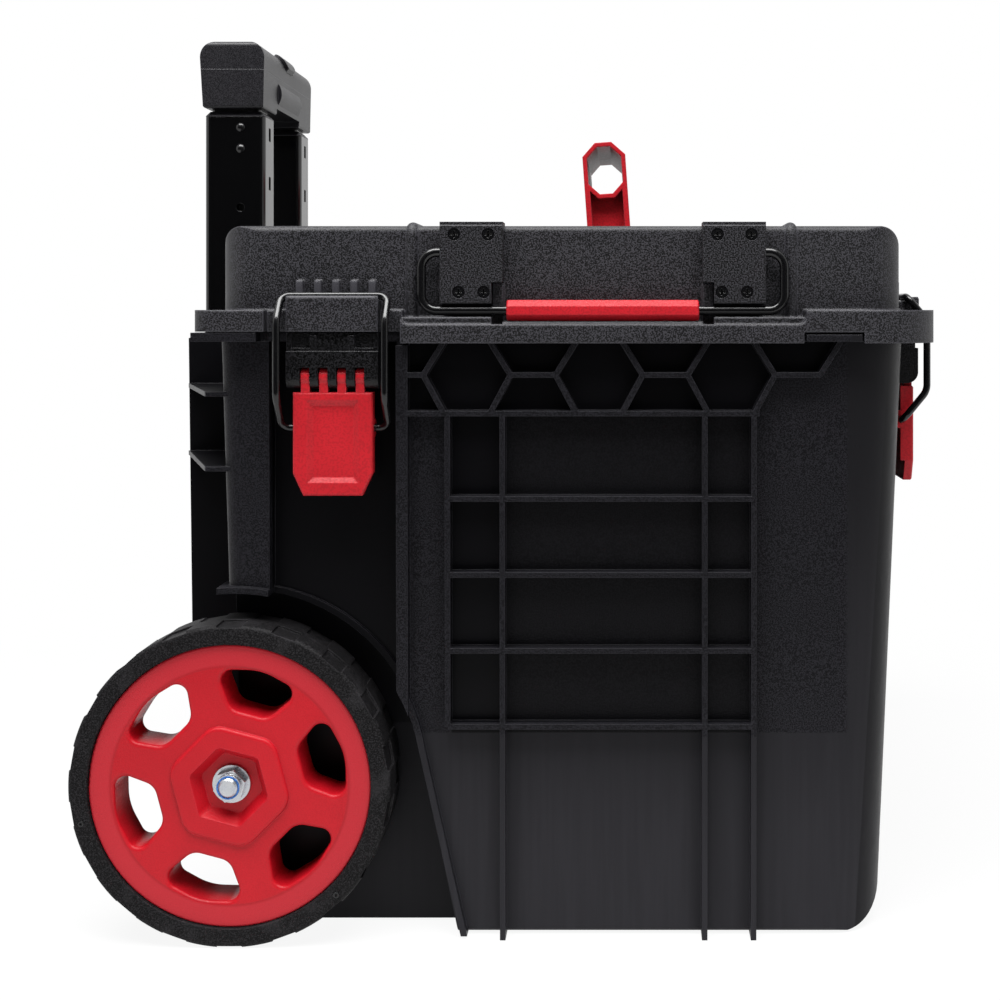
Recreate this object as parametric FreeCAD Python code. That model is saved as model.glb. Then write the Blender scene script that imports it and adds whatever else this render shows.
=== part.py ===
import FreeCAD, Part
import math
import os

# Wheeled jobsite storage box.  Millimetres.  +X is the front, away from the wheels,
# +Z is up, the box is symmetric about the XZ plane and stands on Z = 0.
# Origin: centre of the overall box, on the floor.

V = FreeCAD.Vector

# ---------------------------------------------------------------- tub
TUB_FRONT_TOP = 253.6
TUB_BACK_TOP = -190.0
TUB_HALF_TOP = 248.0
TUB_FRONT_DRAFT = 16.0          # each wall leans in by this much at its foot
TUB_BACK_DRAFT = 10.7
TUB_SIDE_DRAFT = 5.0
TUB_FLOOR = 1.5                 # underside of the tub, over the ground
RIM = 387.0                     # top face of the tub's flange
WALL = 3.5
FLOOR_THICKNESS = 4.0
FRONT_CORNER_RADIUS = 38.0
BACK_CORNER_RADIUS = 12.0
FRONT_EDGE_RADIUS = 28.0        # tub's lower edges
BACK_EDGE_RADIUS = 20.0
SIDE_EDGE_RADIUS = 4.0
SMALLEST_RADIUS = 0.5           # inner radius left where an outer one is thinner than its wall
FLANGE_THICKNESS = 6.0
RIB_THICKNESS = 3.5
EDGE_RIB_WIDTH = 7.4            # rib beside the latch bay
EDGE_RIB_LAP = 3.6              # how far it stands into the bay
RIB_DEPTH = 9.5                 # how far the side ribs stand out from the wall
FRONT_RIB_DEPTH = 7.0

# side wall grid of ribs
SHORT_RIB_X = -42.0
LONG_RIBS_X = (-7.2, 121.3, 152.4)
TOP_BAR_Z = 335.4
FIRST_PANEL_HEIGHT = 54.2
PANEL_HEIGHT = 48.3
PANEL_COUNT = 4
CELL_PITCH = 83.8
CELL_CENTRE_X = 12.3
CELL_MIDDLE_Z = 359.8
CELL_BAR_HALF = 14.3
CELL_SLANT = 13.0
CELL_COUNT = 4

# ---------------------------------------------------------------- wheels
WHEEL_RADIUS = 101.5
WHEEL_WIDTH = 44.0
WHEEL_GAP = 1.5                 # tyre to the well's wall
WELL_DEPTH = 23.0               # well's wall, in from the tub's lower side
WELL_CLEARANCE = 17.0           # arch, outwards from the tyre
WELL_FOOT_X = -34.2
WELL_FOOT_Z = -10.0
WELL_SHOULDER_X = -61.5
AXLE_AHEAD_OF_BACK = 1.1        # axle centre, ahead of the tub's lower back edge
AXLE_RADIUS = 6.0
AXLE_TUNNEL_RADIUS = 14.0
RUNNING_CLEARANCE = 0.06
SEAT_CLEARANCE = 0.05
HUB_RADIUS = 89.0
RIM_BAND_RADIUS = 73.5
WINDOW_INNER_RADIUS = 48.0
WINDOW_ANGLE = 22.0             # half the angle of one window
WINDOW_COUNT = 6
WINDOW_TAPER = 0.66             # window's inner edge, as a share of its outer angle
WINDOW_CORNER_RADIUS = 7.0
WINDOW_EDGE_RADIUS = 2.6
WINDOW_WALL = 3.0
WEB_FACE_THICKNESS = 5.0
WINDOW_TURN = 15.0
WEB_THICKNESS = 28.0
HUB_RECESS = 2.5                # hub's face inside the tyre's side
BOSS_RADIUS = 40.4              # to the hexagon's corners, before they are rounded
BOSS_CORNER_RADIUS = 14.0
BOSS_PROUD = 2.5                # boss's face, out from the web's face
BOSS_EDGE_RADIUS = 2.4
BOSS_TURN = 45.0
SOCKET_RADIUS = 26.0            # at the boss's face, to the hexagon's corners
SOCKET_FLOOR_RADIUS = 20.0
SOCKET_CORNER_RADIUS = 4.0
SOCKET_DEPTH = 9.0
SLEEVE_BOSS_WALL = 4.0
HUB_EDGE_RADIUS = 1.5
RIM_BAND_WALL = 3.0
BUSHING_WALL = 3.0
WASHER_RADIUS = 12.0
WASHER_THICKNESS = 2.0
NUT_ACROSS_FLATS = 18.0
NUT_HEIGHT = 8.0
NUT_TURN = 15.0
NUT_COLLAR_HEIGHT = 2.4         # nylon collar, part of the nut's height
NUT_COLLAR_INSET = 1.0
THREAD_PROUD = 1.5
HUB_END_PLAY = 0.3
SPACER_WALL = 4.0
TREAD_GROOVES = 18
TREAD_DEPTH = 1.6
TREAD_GROOVE_WIDTH = 16.0
TREAD_BAND_HALF = 3.0           # plain band round the tread's middle
TYRE_SHOULDER_RADIUS = 3.0
TYRE_BEAD_RADIUS = 1.0

# ---------------------------------------------------------------- lid
SKIRT_OVERHANG = 15.0           # lid's side face, out from the tub's rim
SKIRT_FRONT_OVERHANG = 18.0
SKIRT_BACK_OVERHANG = 13.0
SKIRT_DEPTH = 7.0               # skirt hangs this far below the rim
SKIRT_WALL = 3.5
SKIRT_GAP = 1.5
LEDGE_TOP = 401.0
SEAT_GAP = 0.3
GASKET_HEIGHT = 3.0
GASKET_WIDTH = 4.0
DOME_TOP = 455.0
DOME_SETBACK = 3.0              # dome's side, in from the tub's rim
DOME_BACK_OVERHANG = 2.0
DOME_END_RADIUS = 16.0
DOME_SIDE_RADIUS = 4.0
DOME_CORNER_RADIUS = 28.0
LID_WALL = 3.5
BEAD_RADIUS = 4.2               # half-round bars across the dome
BEAD_PROUD = 2.5
TROUGH_BACK_X = -71.0
TROUGH_FRONT_X = 185.0
TROUGH_FLOOR = 392.0
TROUGH_CORNER_RADIUS = 5.0
STRIP_INSET = 5.0               # strips in the trough, in from the skirt's face
STRIP_HIGH = 4.6                # beside the side handle's grip, over the trough's floor
STRIP_LOW = 1.6                 # under the grip
STRIP_SLOT_HALF = 3.5           # slots between the strips, at the wire's stops
BEAD_BACK_OUTSIDE = 7.0         # beads, out from the side handle's ends
BEAD_FRONT_OUTSIDE = 5.0
TAB_BACK_X = 185.0              # tub's locating tab in a notch of the lid's skirt
TAB_FRONT_X = 220.0
TAB_HEIGHT = 4.5
TAB_CLEARANCE = 1.5

# ---------------------------------------------------------------- draw latches
SIDE_LATCH_X = -114.0
FRONT_LATCH_INSET = 98.0        # front latches, in from the tub's upper sides
BAY_HALF = 43.0
BAY_SETBACK = 32.0              # bay wall, in from the skirt's face
ZONE_SETBACK = 10.0             # lid's edge beside a latch, in from the skirt's face
ZONE_WALL = 2.5
BLOCK_HALF = 29.0
FRONT_BAY_FOOT = 225.0
LATCH_PIN_SETBACK = 8.0
LATCH_PIN_Z = 358.5
LATCH_PIN_RADIUS = 2.0
COMB_NOSE_RADIUS = 7.5
COMB_TOP = 375.0
COMB_SPACE = 3.0                # behind the lever's eyes
COMB_STEP = 2.0                 # band above the comb, in from its face
BASE_WINDOW_HALF = 6.0
BASE_WINDOW_DEPTH = 1.5
CLIP_SPOT = 13.0
CLIP_HALF = 3.0
PIN_END_INSET = 2.0
LEVER_EYE_RADIUS = 6.0
LEVER_HALF = 25.2
LEVER_FACE = 3.0
LEVER_THICKNESS = 6.0
LEVER_TOP = 349.0
LEVER_FOOT = 283.7
LEVER_CHAMFER_X = 6.5
LEVER_CHAMFER_Z = 14.0
LEVER_EDGE_CHAMFER = 1.0
PANEL_INSET = 9.0               # sunk panel of the lever
PANEL_SLOPE = 3.5
PANEL_DEPTH = 2.4
PANEL_LIFT = 1.0
EAR_WIDTH = 8.0
LEVER_RIM = 3.0                 # walls behind the lever's long edges
FINGER_WIDTH = 5.5
FINGER_PITCH = 11.55
FINGER_COUNT = 4
FINGER_CLEARANCE = 0.4
BAIL_WIRE_RADIUS = 2.4
BAIL_HALF = 34.0
BAIL_PIVOT_SETBACK = 12.0
BAIL_PIVOT_Z = 326.0
BAIL_FRONT = -4.5
BAIL_BAR_SETBACK = 9.0
BAIL_BAR_Z = 410.0
BAIL_KNEE = 20.0                # above the bail's pivot
BAIL_SHOULDER = 16.0            # below the bail's bar
BAIL_BENDS = (6.0, 12.0, 10.0, 6.0)
CREST_THICKNESS = 2.4
CREST_LEAD = 0.8
CREST_LEAD_HEIGHT = 1.5
BLOCK_SHELF = 4.0               # block's front, ahead of the lid's edge
HOOK_RIB_GAP = 1.6              # bail's bar to the ribs behind it
HOOK_RIB_COUNT = 5
HOOK_RIB_WIDTH = 4.4
HOOK_RIB_PITCH = 11.6
HOOK_RIB_TOP = 420.0
LATCH_SCREW_RADIUS = 2.5
LATCH_SCREW_REACH = 10.0
SCREW_HEAD_RADIUS = 5.0
SCREW_HEAD_HEIGHT = 2.5

# ---------------------------------------------------------------- side handles
HANDLE_CENTRE_X = 56.5
BAIL_HANDLE_HALF = 115.5        # to the wire's centre
SIDE_WIRE_RADIUS = 3.0
SIDE_WIRE_SETBACK = 10.5        # wire's plane, in from the skirt's face
SIDE_PIVOT_Z = 437.7
SIDE_DROP = 37.0
SIDE_BEND = 10.0
SIDE_GRIP_HALF = 61.0
SIDE_GRIP_FLATS = 13.3
SIDE_GRIP_CHAMFER = 0.8
STOP_OUTSIDE = 6.0              # wire's stop, past the grip's end
STOP_HALF = 3.3
STOP_TOP = 418.0
PLATE_CENTRE = 83.5             # plate's centre, from the handle's centre
PLATE_HALF = 20.0
PLATE_FOOT = 405.0
PLATE_TOP = 457.0
PLATE_COVER = 1.0               # plastic over the wire
PLATE_EDGE_RADIUS = 1.0
PLATE_LIP_DEPTH = 8.0           # lip over the dome's top edge
PLATE_LIP_GAP = 0.05
PLATE_NOTCH_WIDTH = 7.2
PLATE_NOTCH_HEIGHT = 13.6
PLATE_SCREW_RADIUS = 4.0        # head
PLATE_SHANK_RADIUS = 2.0
PLATE_SHANK_REACH = 8.0         # into the dome
PLATE_HEAD_DEPTH = 2.0
PLATE_HEAD_SINK = 0.3
PLATE_TOP_SCREWS = (10.8, 449.0)   # from the plate's centre, and level
PLATE_LOW_SCREWS = (8.0, 412.4)
CROSS_HALF = 2.2
CROSS_WIDTH_HALF = 0.5
CROSS_DEPTH = 1.2
WIRE_TAIL = 30.0
WIRE_END_PLAY = 0.5

# ---------------------------------------------------------------- top handle
TOP_PIVOT_X = 59.3
TOP_PIVOT_Z = 445.0
TOP_LEAN = 4.0                  # degrees past upright, towards the back
TOP_GRIP_CENTRE = 61.5          # grip's centre, from the pivot
TOP_GRIP_WIDTH = 32.4
TOP_GRIP_HEIGHT = 42.0
TOP_GRIP_WALL = 3.2
TOP_HALF_LENGTH = 74.0
TOP_ARM_THICKNESS = 14.0
TOP_ARM_FLANGE = 4.0
TOP_ARM_WEB = 4.0
TOP_GRIP_FACET = 10.0
TOP_GRIP_INNER_FACET = 8.1
TOP_ARM_POCKET_FOOT = 8.0
TOP_ARM_POCKET_SLANT = 6.0
TOP_PIN_RADIUS = 4.0
TOP_PIN_BITE = 1.0              # pin's inner end, short of the arm's inner face
TOP_PIN_REACH = 9.5             # pin's outer end, past the pocket's wall
TOP_BOSS_WALL = 3.0
TOP_BOSS_REACH = 11.5
POCKET_CORNER_RADIUS = 4.0
POCKET_SIDE_GAP = 4.0
POCKET_END_GAP = 3.0
POCKET_FLOOR = 424.0

# ---------------------------------------------------------------- tow handle
TUBE_BEHIND = 10.0              # outer tube's front face, behind the tub's upper back edge
TUBE_DEPTH = 45.0
TUBE_WIDTH = 34.0
TUBE_CENTRE_Y = 63.0
TUBE_WALL = 1.5
TUBE_RADIUS = 5.0
TUBE_FOOT = 103.0
TUBE_TOP = 546.0
SLEEVE_CLEARANCE = 0.3
SLEEVE_WALL = 3.0
INNER_DEPTH = 37.0
INNER_WIDTH = 26.0
INNER_RADIUS = 4.0
INNER_FOOT = 125.0
COLLAR_HEIGHT = 30.0
COLLAR_CAP = 4.0
COLLAR_CHAMFER = 3.2
SLIDE_CLEARANCE = 0.35
PLUG_HEIGHT = 25.0
GRIP_GAP = 2.0                  # grip's foot, over the collars' caps
GRIP_LOWER_HEIGHT = 29.0
GRIP_UPPER_HEIGHT = 21.0
GRIP_MIDDLE_LIFT = 5.0          # grip's underside between the tubes, over its foot
GRIP_HALF = 84.0
GRIP_BACK_PROUD = 3.0
GRIP_TOP_PROUD = 1.0            # grip's front leans out by this much at its top
GRIP_EDGE_RADIUS = 12.0
GRIP_BLOCK_LENGTH = 44.0
GRIP_SMALL_RADIUS = 2.0
GRIP_END_RADIUS = 4.0
GRIP_FOOT_SETBACK = 3.0
BULGE_PROUD = 3.0
BULGE_RADIUS = 14.0
BULGE_HALF = 36.0
ROD_INTO_GRIP = 6.0
TUBE_TOP_GAP = 2.0              # inner tube's end, under the grip's parting line
HOUSING_HALF = 131.0
HOUSING_SHOULDER = 98.0
HOUSING_FOOT = 100.0
GUSSETS_Z = (299.0, 347.0)
GUSSET_THICKNESS = 3.0
GUSSET_REACH = 8.5
GUSSET_ROOT = 7.5
HOUSING_TAPER = 3.5
HOUSING_WALL = 3.5
HOUSING_SIDE_CHAMFER = 6.0
ROD_RADIUS = 2.5
RIVET_RADIUS = 3.4
RIVETS_Z = (522.0, 538.0)
RIVET_HEAD_RADIUS = 4.25
RIVET_HEAD_SINK = 2.55
COLLAR_RIVET_GAP = 0.8
RIVET_FORWARD = 4.5             # rivets and lock hole, ahead of the tube's middle
COLLAR_SLOTS_Z = (497.0, 534.0)
COLLAR_SLOT_HALF = 3.0
COLLAR_SLOT_RISE = 5.0
LOCK_HOLE_Z = 478.0
LOCK_HOLE_RADIUS = 3.0
BUTTON_LENGTH = 34.0
BUTTON_WIDTH = 16.0
BUTTON_PROUD = 2.4
BUTTON_DEPTH = 9.0
BUTTON_CLEARANCE = 0.35
BUTTON_SPRING_LENGTH = 6.0
BUTTON_SPRING_RADIUS = 4.0
SPRING_WALL = 1.0
TUBE_SCREWS_Z = (160.0, 340.0)
TUBE_SCREW_RADIUS = 2.5
TUBE_SCREW_HEAD_HEIGHT = 2.0
ARCH_LIP_WIDTH = 4.0
ARCH_LIP_PROUD = 2.0
BAY_LIP_PROUD = 3.0             # the arch's lip, out from the bay's wall

# ---------------------------------------------------------------- derived places
TUB_FRONT_BOTTOM = TUB_FRONT_TOP - TUB_FRONT_DRAFT
TUB_BACK_BOTTOM = TUB_BACK_TOP + TUB_BACK_DRAFT
TUB_HALF_BOTTOM = TUB_HALF_TOP - TUB_SIDE_DRAFT
SKIRT_Y = TUB_HALF_TOP + SKIRT_OVERHANG
SKIRT_FRONT = TUB_FRONT_TOP + SKIRT_FRONT_OVERHANG
SKIRT_BACK = TUB_BACK_TOP - SKIRT_BACK_OVERHANG
DOME_Y = TUB_HALF_TOP - DOME_SETBACK
DOME_FRONT = TUB_FRONT_TOP - DOME_SETBACK
DOME_BACK = TUB_BACK_TOP - DOME_BACK_OVERHANG
WELL_Y = TUB_HALF_BOTTOM - WELL_DEPTH
WHEEL_X = TUB_BACK_BOTTOM + AXLE_AHEAD_OF_BACK
WHEEL_INNER_Y = WELL_Y + WHEEL_GAP
WHEEL_OUTER_Y = WHEEL_INNER_Y + WHEEL_WIDTH
ARCH_RADIUS = WHEEL_RADIUS + WELL_CLEARANCE
WELL_SHOULDER_Z = WHEEL_RADIUS + math.sqrt(ARCH_RADIUS ** 2 - (WELL_SHOULDER_X - WHEEL_X) ** 2)
LID_UNDERSIDE = RIM + GASKET_HEIGHT
LID_EDGE = RIM + SEAT_GAP
TUBE_FRONT = TUB_BACK_TOP - TUBE_BEHIND
TUBE_BACK = TUBE_FRONT - TUBE_DEPTH
TUBE_X = (TUBE_FRONT + TUBE_BACK) / 2
GRIP_BOTTOM = TUBE_TOP + COLLAR_CAP + GRIP_GAP
GRIP_PARTING = GRIP_BOTTOM + GRIP_LOWER_HEIGHT
GRIP_TOP = GRIP_PARTING + GRIP_UPPER_HEIGHT
GRIP_MIDDLE_BOTTOM = GRIP_BOTTOM + GRIP_MIDDLE_LIFT
FRONT_LATCH_Y = TUB_HALF_TOP - FRONT_LATCH_INSET
SIDE_WIRE_Y = SKIRT_Y - SIDE_WIRE_SETBACK
PLATE_Y = SIDE_WIRE_Y + SIDE_WIRE_RADIUS + PLATE_COVER
FAR = 1000.0                    # well past the object, for cutting
SIDES = (("left", -1), ("right", 1))
LATCH_SPOTS = (
    ("left", V(SIDE_LATCH_X, -SKIRT_Y, 0), 0),
    ("right", V(SIDE_LATCH_X, SKIRT_Y, 0), 180),
    ("front_left", V(SKIRT_FRONT, -FRONT_LATCH_Y, 0), 90),
    ("front_right", V(SKIRT_FRONT, FRONT_LATCH_Y, 0), 90),
)


# ---------------------------------------------------------------- shape helpers
def box(x0, x1, y0, y1, z0, z1):
    return Part.makeBox(x1 - x0, y1 - y0, z1 - z0, V(x0, y0, z0))


def rod(start, end, radius):
    """Round bar between two points."""
    way = end.sub(start)
    return Part.makeCylinder(radius, way.Length, start, way)


def corner_arc(before, corner, after, radius):
    """Start, middle and end of the arc that rounds a corner."""
    back = before.sub(corner).normalize()
    ahead = after.sub(corner).normalize()
    half = back.getAngle(ahead) / 2
    reach = radius / math.tan(half)
    inward = back.add(ahead).normalize()
    middle = corner.add(inward * (radius / math.sin(half) - radius))
    return corner.add(back * reach), middle, corner.add(ahead * reach)


def outline(points, radii):
    """Closed wire through the points, each corner rounded by its radius."""
    edges = []
    ends = []
    for number, corner in enumerate(points):
        after = points[(number + 1) % len(points)]
        if radii[number] == 0:
            ends.append((corner, corner))
            continue
        start, middle, end = corner_arc(points[number - 1], corner, after, radii[number])
        edges.append(Part.Arc(start, middle, end).toShape())
        ends.append((start, end))
    for number, (start, end) in enumerate(ends):
        following = ends[(number + 1) % len(ends)][0]
        if end.distanceToPoint(following) > 1e-6:
            edges.append(Part.makeLine(end, following))
    return Part.Wire(Part.__sortEdges__(edges))


def slab(points, axis, low, high, radii=0):
    """Outline drawn in the two other axes, in X, Y, Z order, pushed along the axis."""
    places = {
        "x": lambda a, b: V(low, a, b),
        "y": lambda a, b: V(a, low, b),
        "z": lambda a, b: V(a, b, low),
    }
    push = {"x": V(high - low, 0, 0), "y": V(0, high - low, 0), "z": V(0, 0, high - low)}
    corners = [places[axis](a, b) for a, b in points]
    if not isinstance(radii, (list, tuple)):
        radii = [radii] * len(points)
    return Part.Face(outline(corners, radii)).extrude(push[axis])


def plan_points(back, front, half):
    return [(back, -half), (front, -half), (front, half), (back, half)]


def plan_slab(back, front, half, low, high, back_radius, front_radius):
    """Flat slab, a rectangle in plan with rounded corners."""
    radii = [back_radius, front_radius, front_radius, back_radius]
    return slab(plan_points(back, front, half), "z", low, high, radii)


def regular(count, radius, turn=0.0, centre=(0.0, 0.0)):
    """Corners of a regular polygon."""
    angles = [math.radians(turn + 360.0 * number / count) for number in range(count)]
    return [(centre[0] + radius * math.cos(a), centre[1] + radius * math.sin(a)) for a in angles]


def bent_bar(points, bends, radius):
    """Round bar along straight runs joined by bends."""
    edges = []
    start = points[0]
    for number, bend in enumerate(bends):
        corner = points[number + 1]
        first, middle, last = corner_arc(points[number], corner, points[number + 2], bend)
        edges.append(Part.makeLine(start, first))
        edges.append(Part.Arc(first, middle, last).toShape())
        start = last
    edges.append(Part.makeLine(start, points[-1]))
    section = Part.Wire(Part.makeCircle(radius, points[0], points[1].sub(points[0])))
    return Part.Wire(edges).makePipeShell([section], True, False)


def joined(shapes):
    shapes = list(shapes)
    return shapes[0].multiFuse(shapes[1:]).removeSplitter() if len(shapes) > 1 else shapes[0]


def placed(shape, spot, turn):
    """Copy turned about Z at the origin, then moved to its spot."""
    copy = shape.copy()
    copy.rotate(V(0, 0, 0), V(0, 0, 1), turn)
    copy.translate(spot)
    return copy


def mirrored(shape):
    """Copy on the other side of the XZ plane."""
    return shape.mirror(V(0, 0, 0), V(0, 1, 0))


def both_sides(shape):
    return [shape, mirrored(shape)]


def at_latches(shape, spots=LATCH_SPOTS):
    return [placed(shape, spot, turn) for _, spot, turn in spots]


# ---------------------------------------------------------------- tub
def tub_form(inset, floor, top):
    """Tapered tub, its walls moved in by the inset."""
    low = plan_points(TUB_BACK_BOTTOM + inset, TUB_FRONT_BOTTOM - inset, TUB_HALF_BOTTOM - inset)
    high = plan_points(TUB_BACK_TOP + inset, TUB_FRONT_TOP - inset, TUB_HALF_TOP - inset)
    back = max(BACK_CORNER_RADIUS - inset, 1.0)
    front = max(FRONT_CORNER_RADIUS - inset, 1.0)
    wires = []
    for points, level in ((low, floor), (high, top)):
        corners = [V(x, y, level) for x, y in points]
        wires.append(outline(corners, [back, front, front, back]))
    return Part.makeLoft(wires, True, True)


def lower_edge_cut(corner, up, radius, push):
    """Bar that rounds the edge between the floor and a wall: what lies outside their arc."""
    inward = V(-up.x, -up.y, 0)
    floor_end, middle, wall_end = corner_arc(corner.add(inward), corner, corner.add(up), radius)
    out = corner.sub(middle)
    points = [floor_end, floor_end.add(out), corner.add(out * 2), wall_end.add(out), wall_end]
    edges = [Part.makeLine(start, end) for start, end in zip(points, points[1:])]
    edges.append(Part.Arc(wall_end, middle, floor_end).toShape())
    return Part.Face(Part.Wire(edges)).extrude(push)


def rounded_tub(inset, floor):
    """Tapered tub with rounded lower edges, its walls moved in by the inset."""
    rise = RIM - floor
    half = TUB_HALF_BOTTOM - inset
    along_x, along_y = V(2 * FAR, 0, 0), V(0, 2 * FAR, 0)
    walls = [
        (V(TUB_BACK_BOTTOM + inset, -FAR, floor), V(-TUB_BACK_DRAFT, 0, rise), BACK_EDGE_RADIUS, along_y),
        (V(TUB_FRONT_BOTTOM - inset, -FAR, floor), V(TUB_FRONT_DRAFT, 0, rise), FRONT_EDGE_RADIUS, along_y),
        (V(-FAR, -half, floor), V(0, -TUB_SIDE_DRAFT, rise), SIDE_EDGE_RADIUS, along_x),
        (V(-FAR, half, floor), V(0, TUB_SIDE_DRAFT, rise), SIDE_EDGE_RADIUS, along_x),
    ]
    cuts = [lower_edge_cut(corner, up, max(radius - inset, SMALLEST_RADIUS), push)
            for corner, up, radius, push in walls]
    return tub_form(inset, floor, RIM).cut(cuts)


def well_cut(grow):
    """Space for the left wheel, its walls moved out by a distance."""
    inner = -WELL_Y + grow
    foot = [(WELL_SHOULDER_X + grow, WELL_SHOULDER_Z), (WELL_FOOT_X + grow, WELL_FOOT_Z),
            (-FAR, WELL_FOOT_Z), (-FAR, WELL_SHOULDER_Z)]
    arch = rod(V(WHEEL_X, -FAR, WHEEL_RADIUS), V(WHEEL_X, inner, WHEEL_RADIUS), ARCH_RADIUS + grow)
    return arch.fuse(slab(foot, "y", -FAR, inner))


def side_bay_cut(grow):
    """Recess in the left wall for a latch, open down into the wheel's arch."""
    inner = -SKIRT_Y + BAY_SETBACK + grow
    return box(SIDE_LATCH_X - BAY_HALF - grow, SIDE_LATCH_X + BAY_HALF + grow, -FAR, inner,
               WHEEL_RADIUS, RIM - FLANGE_THICKNESS)


def front_bay_cut(grow):
    """Recess in the front wall for a latch, with a ramp at its foot."""
    inner = SKIRT_FRONT - BAY_SETBACK - grow
    foot = FRONT_BAY_FOOT - grow
    side = [(inner, foot + BAY_SETBACK), (inner + BAY_SETBACK, foot), (FAR, foot),
            (FAR, RIM - FLANGE_THICKNESS), (inner, RIM - FLANGE_THICKNESS)]
    bay = slab(side, "y", -BAY_HALF - grow, BAY_HALF + grow)
    return [placed(bay, V(0, y, 0), 0) for y in (-FRONT_LATCH_Y, FRONT_LATCH_Y)]


def recesses(grow=0.0):
    return both_sides(well_cut(grow)) + both_sides(side_bay_cut(grow)) + front_bay_cut(grow)


def rib_levels():
    return [TOP_BAR_Z] + [TOP_BAR_Z - FIRST_PANEL_HEIGHT - PANEL_HEIGHT * n for n in range(PANEL_COUNT)]


def flat_bar(start, end, width=RIB_THICKNESS):
    """Flat rib in the XZ plane between two points, deep along Y."""
    a = V(start[0], 0, start[1])
    b = V(end[0], 0, end[1])
    way = b.sub(a)
    across = V(way.z, 0, -way.x).normalize() * (width / 2)
    corners = [a.add(across), b.add(across), b.sub(across), a.sub(across)]
    face = Part.Face(Part.makePolygon(corners + corners[:1]))
    bar = face.extrude(V(0, TUB_HALF_TOP, 0))
    bar.translate(V(0, -TUB_HALF_TOP - FAR / 10, 0))
    return bar


def side_ribs():
    """Grid of ribs and the row of half hexagons under the rim, on the left wall."""
    levels = rib_levels()
    right = LONG_RIBS_X[-1]
    bay_edge = SIDE_LATCH_X + BAY_HALF
    under_rim = RIM - FLANGE_THICKNESS
    bars = [flat_bar((x, 0), (x, TOP_BAR_Z)) for x in LONG_RIBS_X]
    bars.append(flat_bar((SHORT_RIB_X, levels[-1]), (SHORT_RIB_X, TOP_BAR_Z)))
    bars += [flat_bar((SHORT_RIB_X, z), (right, z)) for z in levels[1:]]
    bars.append(flat_bar((bay_edge, TOP_BAR_Z), (right + RIB_THICKNESS, TOP_BAR_Z)))
    edge_rib = bay_edge - EDGE_RIB_LAP + EDGE_RIB_WIDTH / 2
    bars.append(flat_bar((edge_rib, WELL_SHOULDER_Z), (edge_rib, under_rim), EDGE_RIB_WIDTH))
    for number in range(CELL_COUNT):
        centre = CELL_CENTRE_X + CELL_PITCH * (number - 1)
        back, front = centre - CELL_BAR_HALF, centre + CELL_BAR_HALF
        last = number == CELL_COUNT - 1
        bars.append(flat_bar((max(back, bay_edge), CELL_MIDDLE_Z), (front, CELL_MIDDLE_Z)))
        bars.append(flat_bar((front, CELL_MIDDLE_Z), (front + CELL_SLANT, under_rim)))
        if back > bay_edge:
            bars.append(flat_bar((back, CELL_MIDDLE_Z), (back - CELL_SLANT, under_rim)))
            bars.append(flat_bar((back, CELL_MIDDLE_Z), (back - CELL_SLANT, TOP_BAR_Z)))
        if not last:
            bars.append(flat_bar((front, CELL_MIDDLE_Z), (front + CELL_SLANT, TOP_BAR_Z)))
    return joined(bars)


def rib_envelope():
    """Space that the side ribs fill, its outer faces parallel to the walls."""
    low = plan_points(TUB_BACK_BOTTOM, TUB_FRONT_BOTTOM, TUB_HALF_BOTTOM + RIB_DEPTH)
    high = plan_points(TUB_BACK_TOP, TUB_FRONT_TOP, TUB_HALF_TOP + RIB_DEPTH)
    wires = []
    for points, level in ((low, 0.0), (high, RIM)):
        corners = [V(x, y, level) for x, y in points]
        wires.append(Part.makePolygon(corners + corners[:1]))
    outside = Part.makeLoft(wires, True, True)
    hidden = WALL / 2
    inside = tub_form(hidden, TUB_FLOOR + hidden, RIM)
    return outside.cut(inside)


def front_ribs():
    """Ribs on the front wall, between and below the latch bays."""
    half = FRONT_LATCH_Y - BAY_HALF
    low_x = TUB_FRONT_BOTTOM + FRONT_RIB_DEPTH
    high_x = TUB_FRONT_TOP + FRONT_RIB_DEPTH
    start = TUB_FRONT_BOTTOM - WALL
    foot = TUB_FLOOR + FRONT_EDGE_RADIUS
    side = [(start, foot), (low_x, foot), (high_x, TOP_BAR_Z), (start, TOP_BAR_Z)]
    ribs = []
    for y in (-half + RIB_THICKNESS, -half / 3, half / 3, half - RIB_THICKNESS):
        ribs.append(slab(side, "y", y - RIB_THICKNESS / 2, y + RIB_THICKNESS / 2))
    envelope = slab(side, "y", -half, half)
    for z in rib_levels():
        bar = box(start, high_x + 1, -half, half, z - RIB_THICKNESS / 2, z + RIB_THICKNESS / 2)
        ribs.append(bar.common(envelope))
    return joined(ribs)


def latch_zones():
    """Room in the tub's edge for the lid's walls round each latch."""
    low = RIM - SKIRT_DEPTH - SKIRT_GAP
    half = BAY_HALF + SKIRT_WALL + SKIRT_GAP
    deep = ZONE_SETBACK + ZONE_WALL + SKIRT_GAP
    across = box(-half, half, -FAR, ZONE_SETBACK + SKIRT_GAP, low, FAR)
    ends = [box(-half, -BAY_HALF, 0, deep, low, FAR), box(BAY_HALF, half, 0, deep, low, FAR)]
    return at_latches(joined([across] + ends).common(box(-half, half, -SKIRT_WALL, deep, low, FAR)))


def locating_tab(clearance):
    """Tab on the left edge of the tub's flange, or the lid's notch for it."""
    low = RIM - FLANGE_THICKNESS
    return box(TAB_BACK_X - clearance, TAB_FRONT_X + clearance, -SKIRT_Y - clearance, -TUB_HALF_TOP,
               low - clearance, low + TAB_HEIGHT + clearance)


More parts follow.
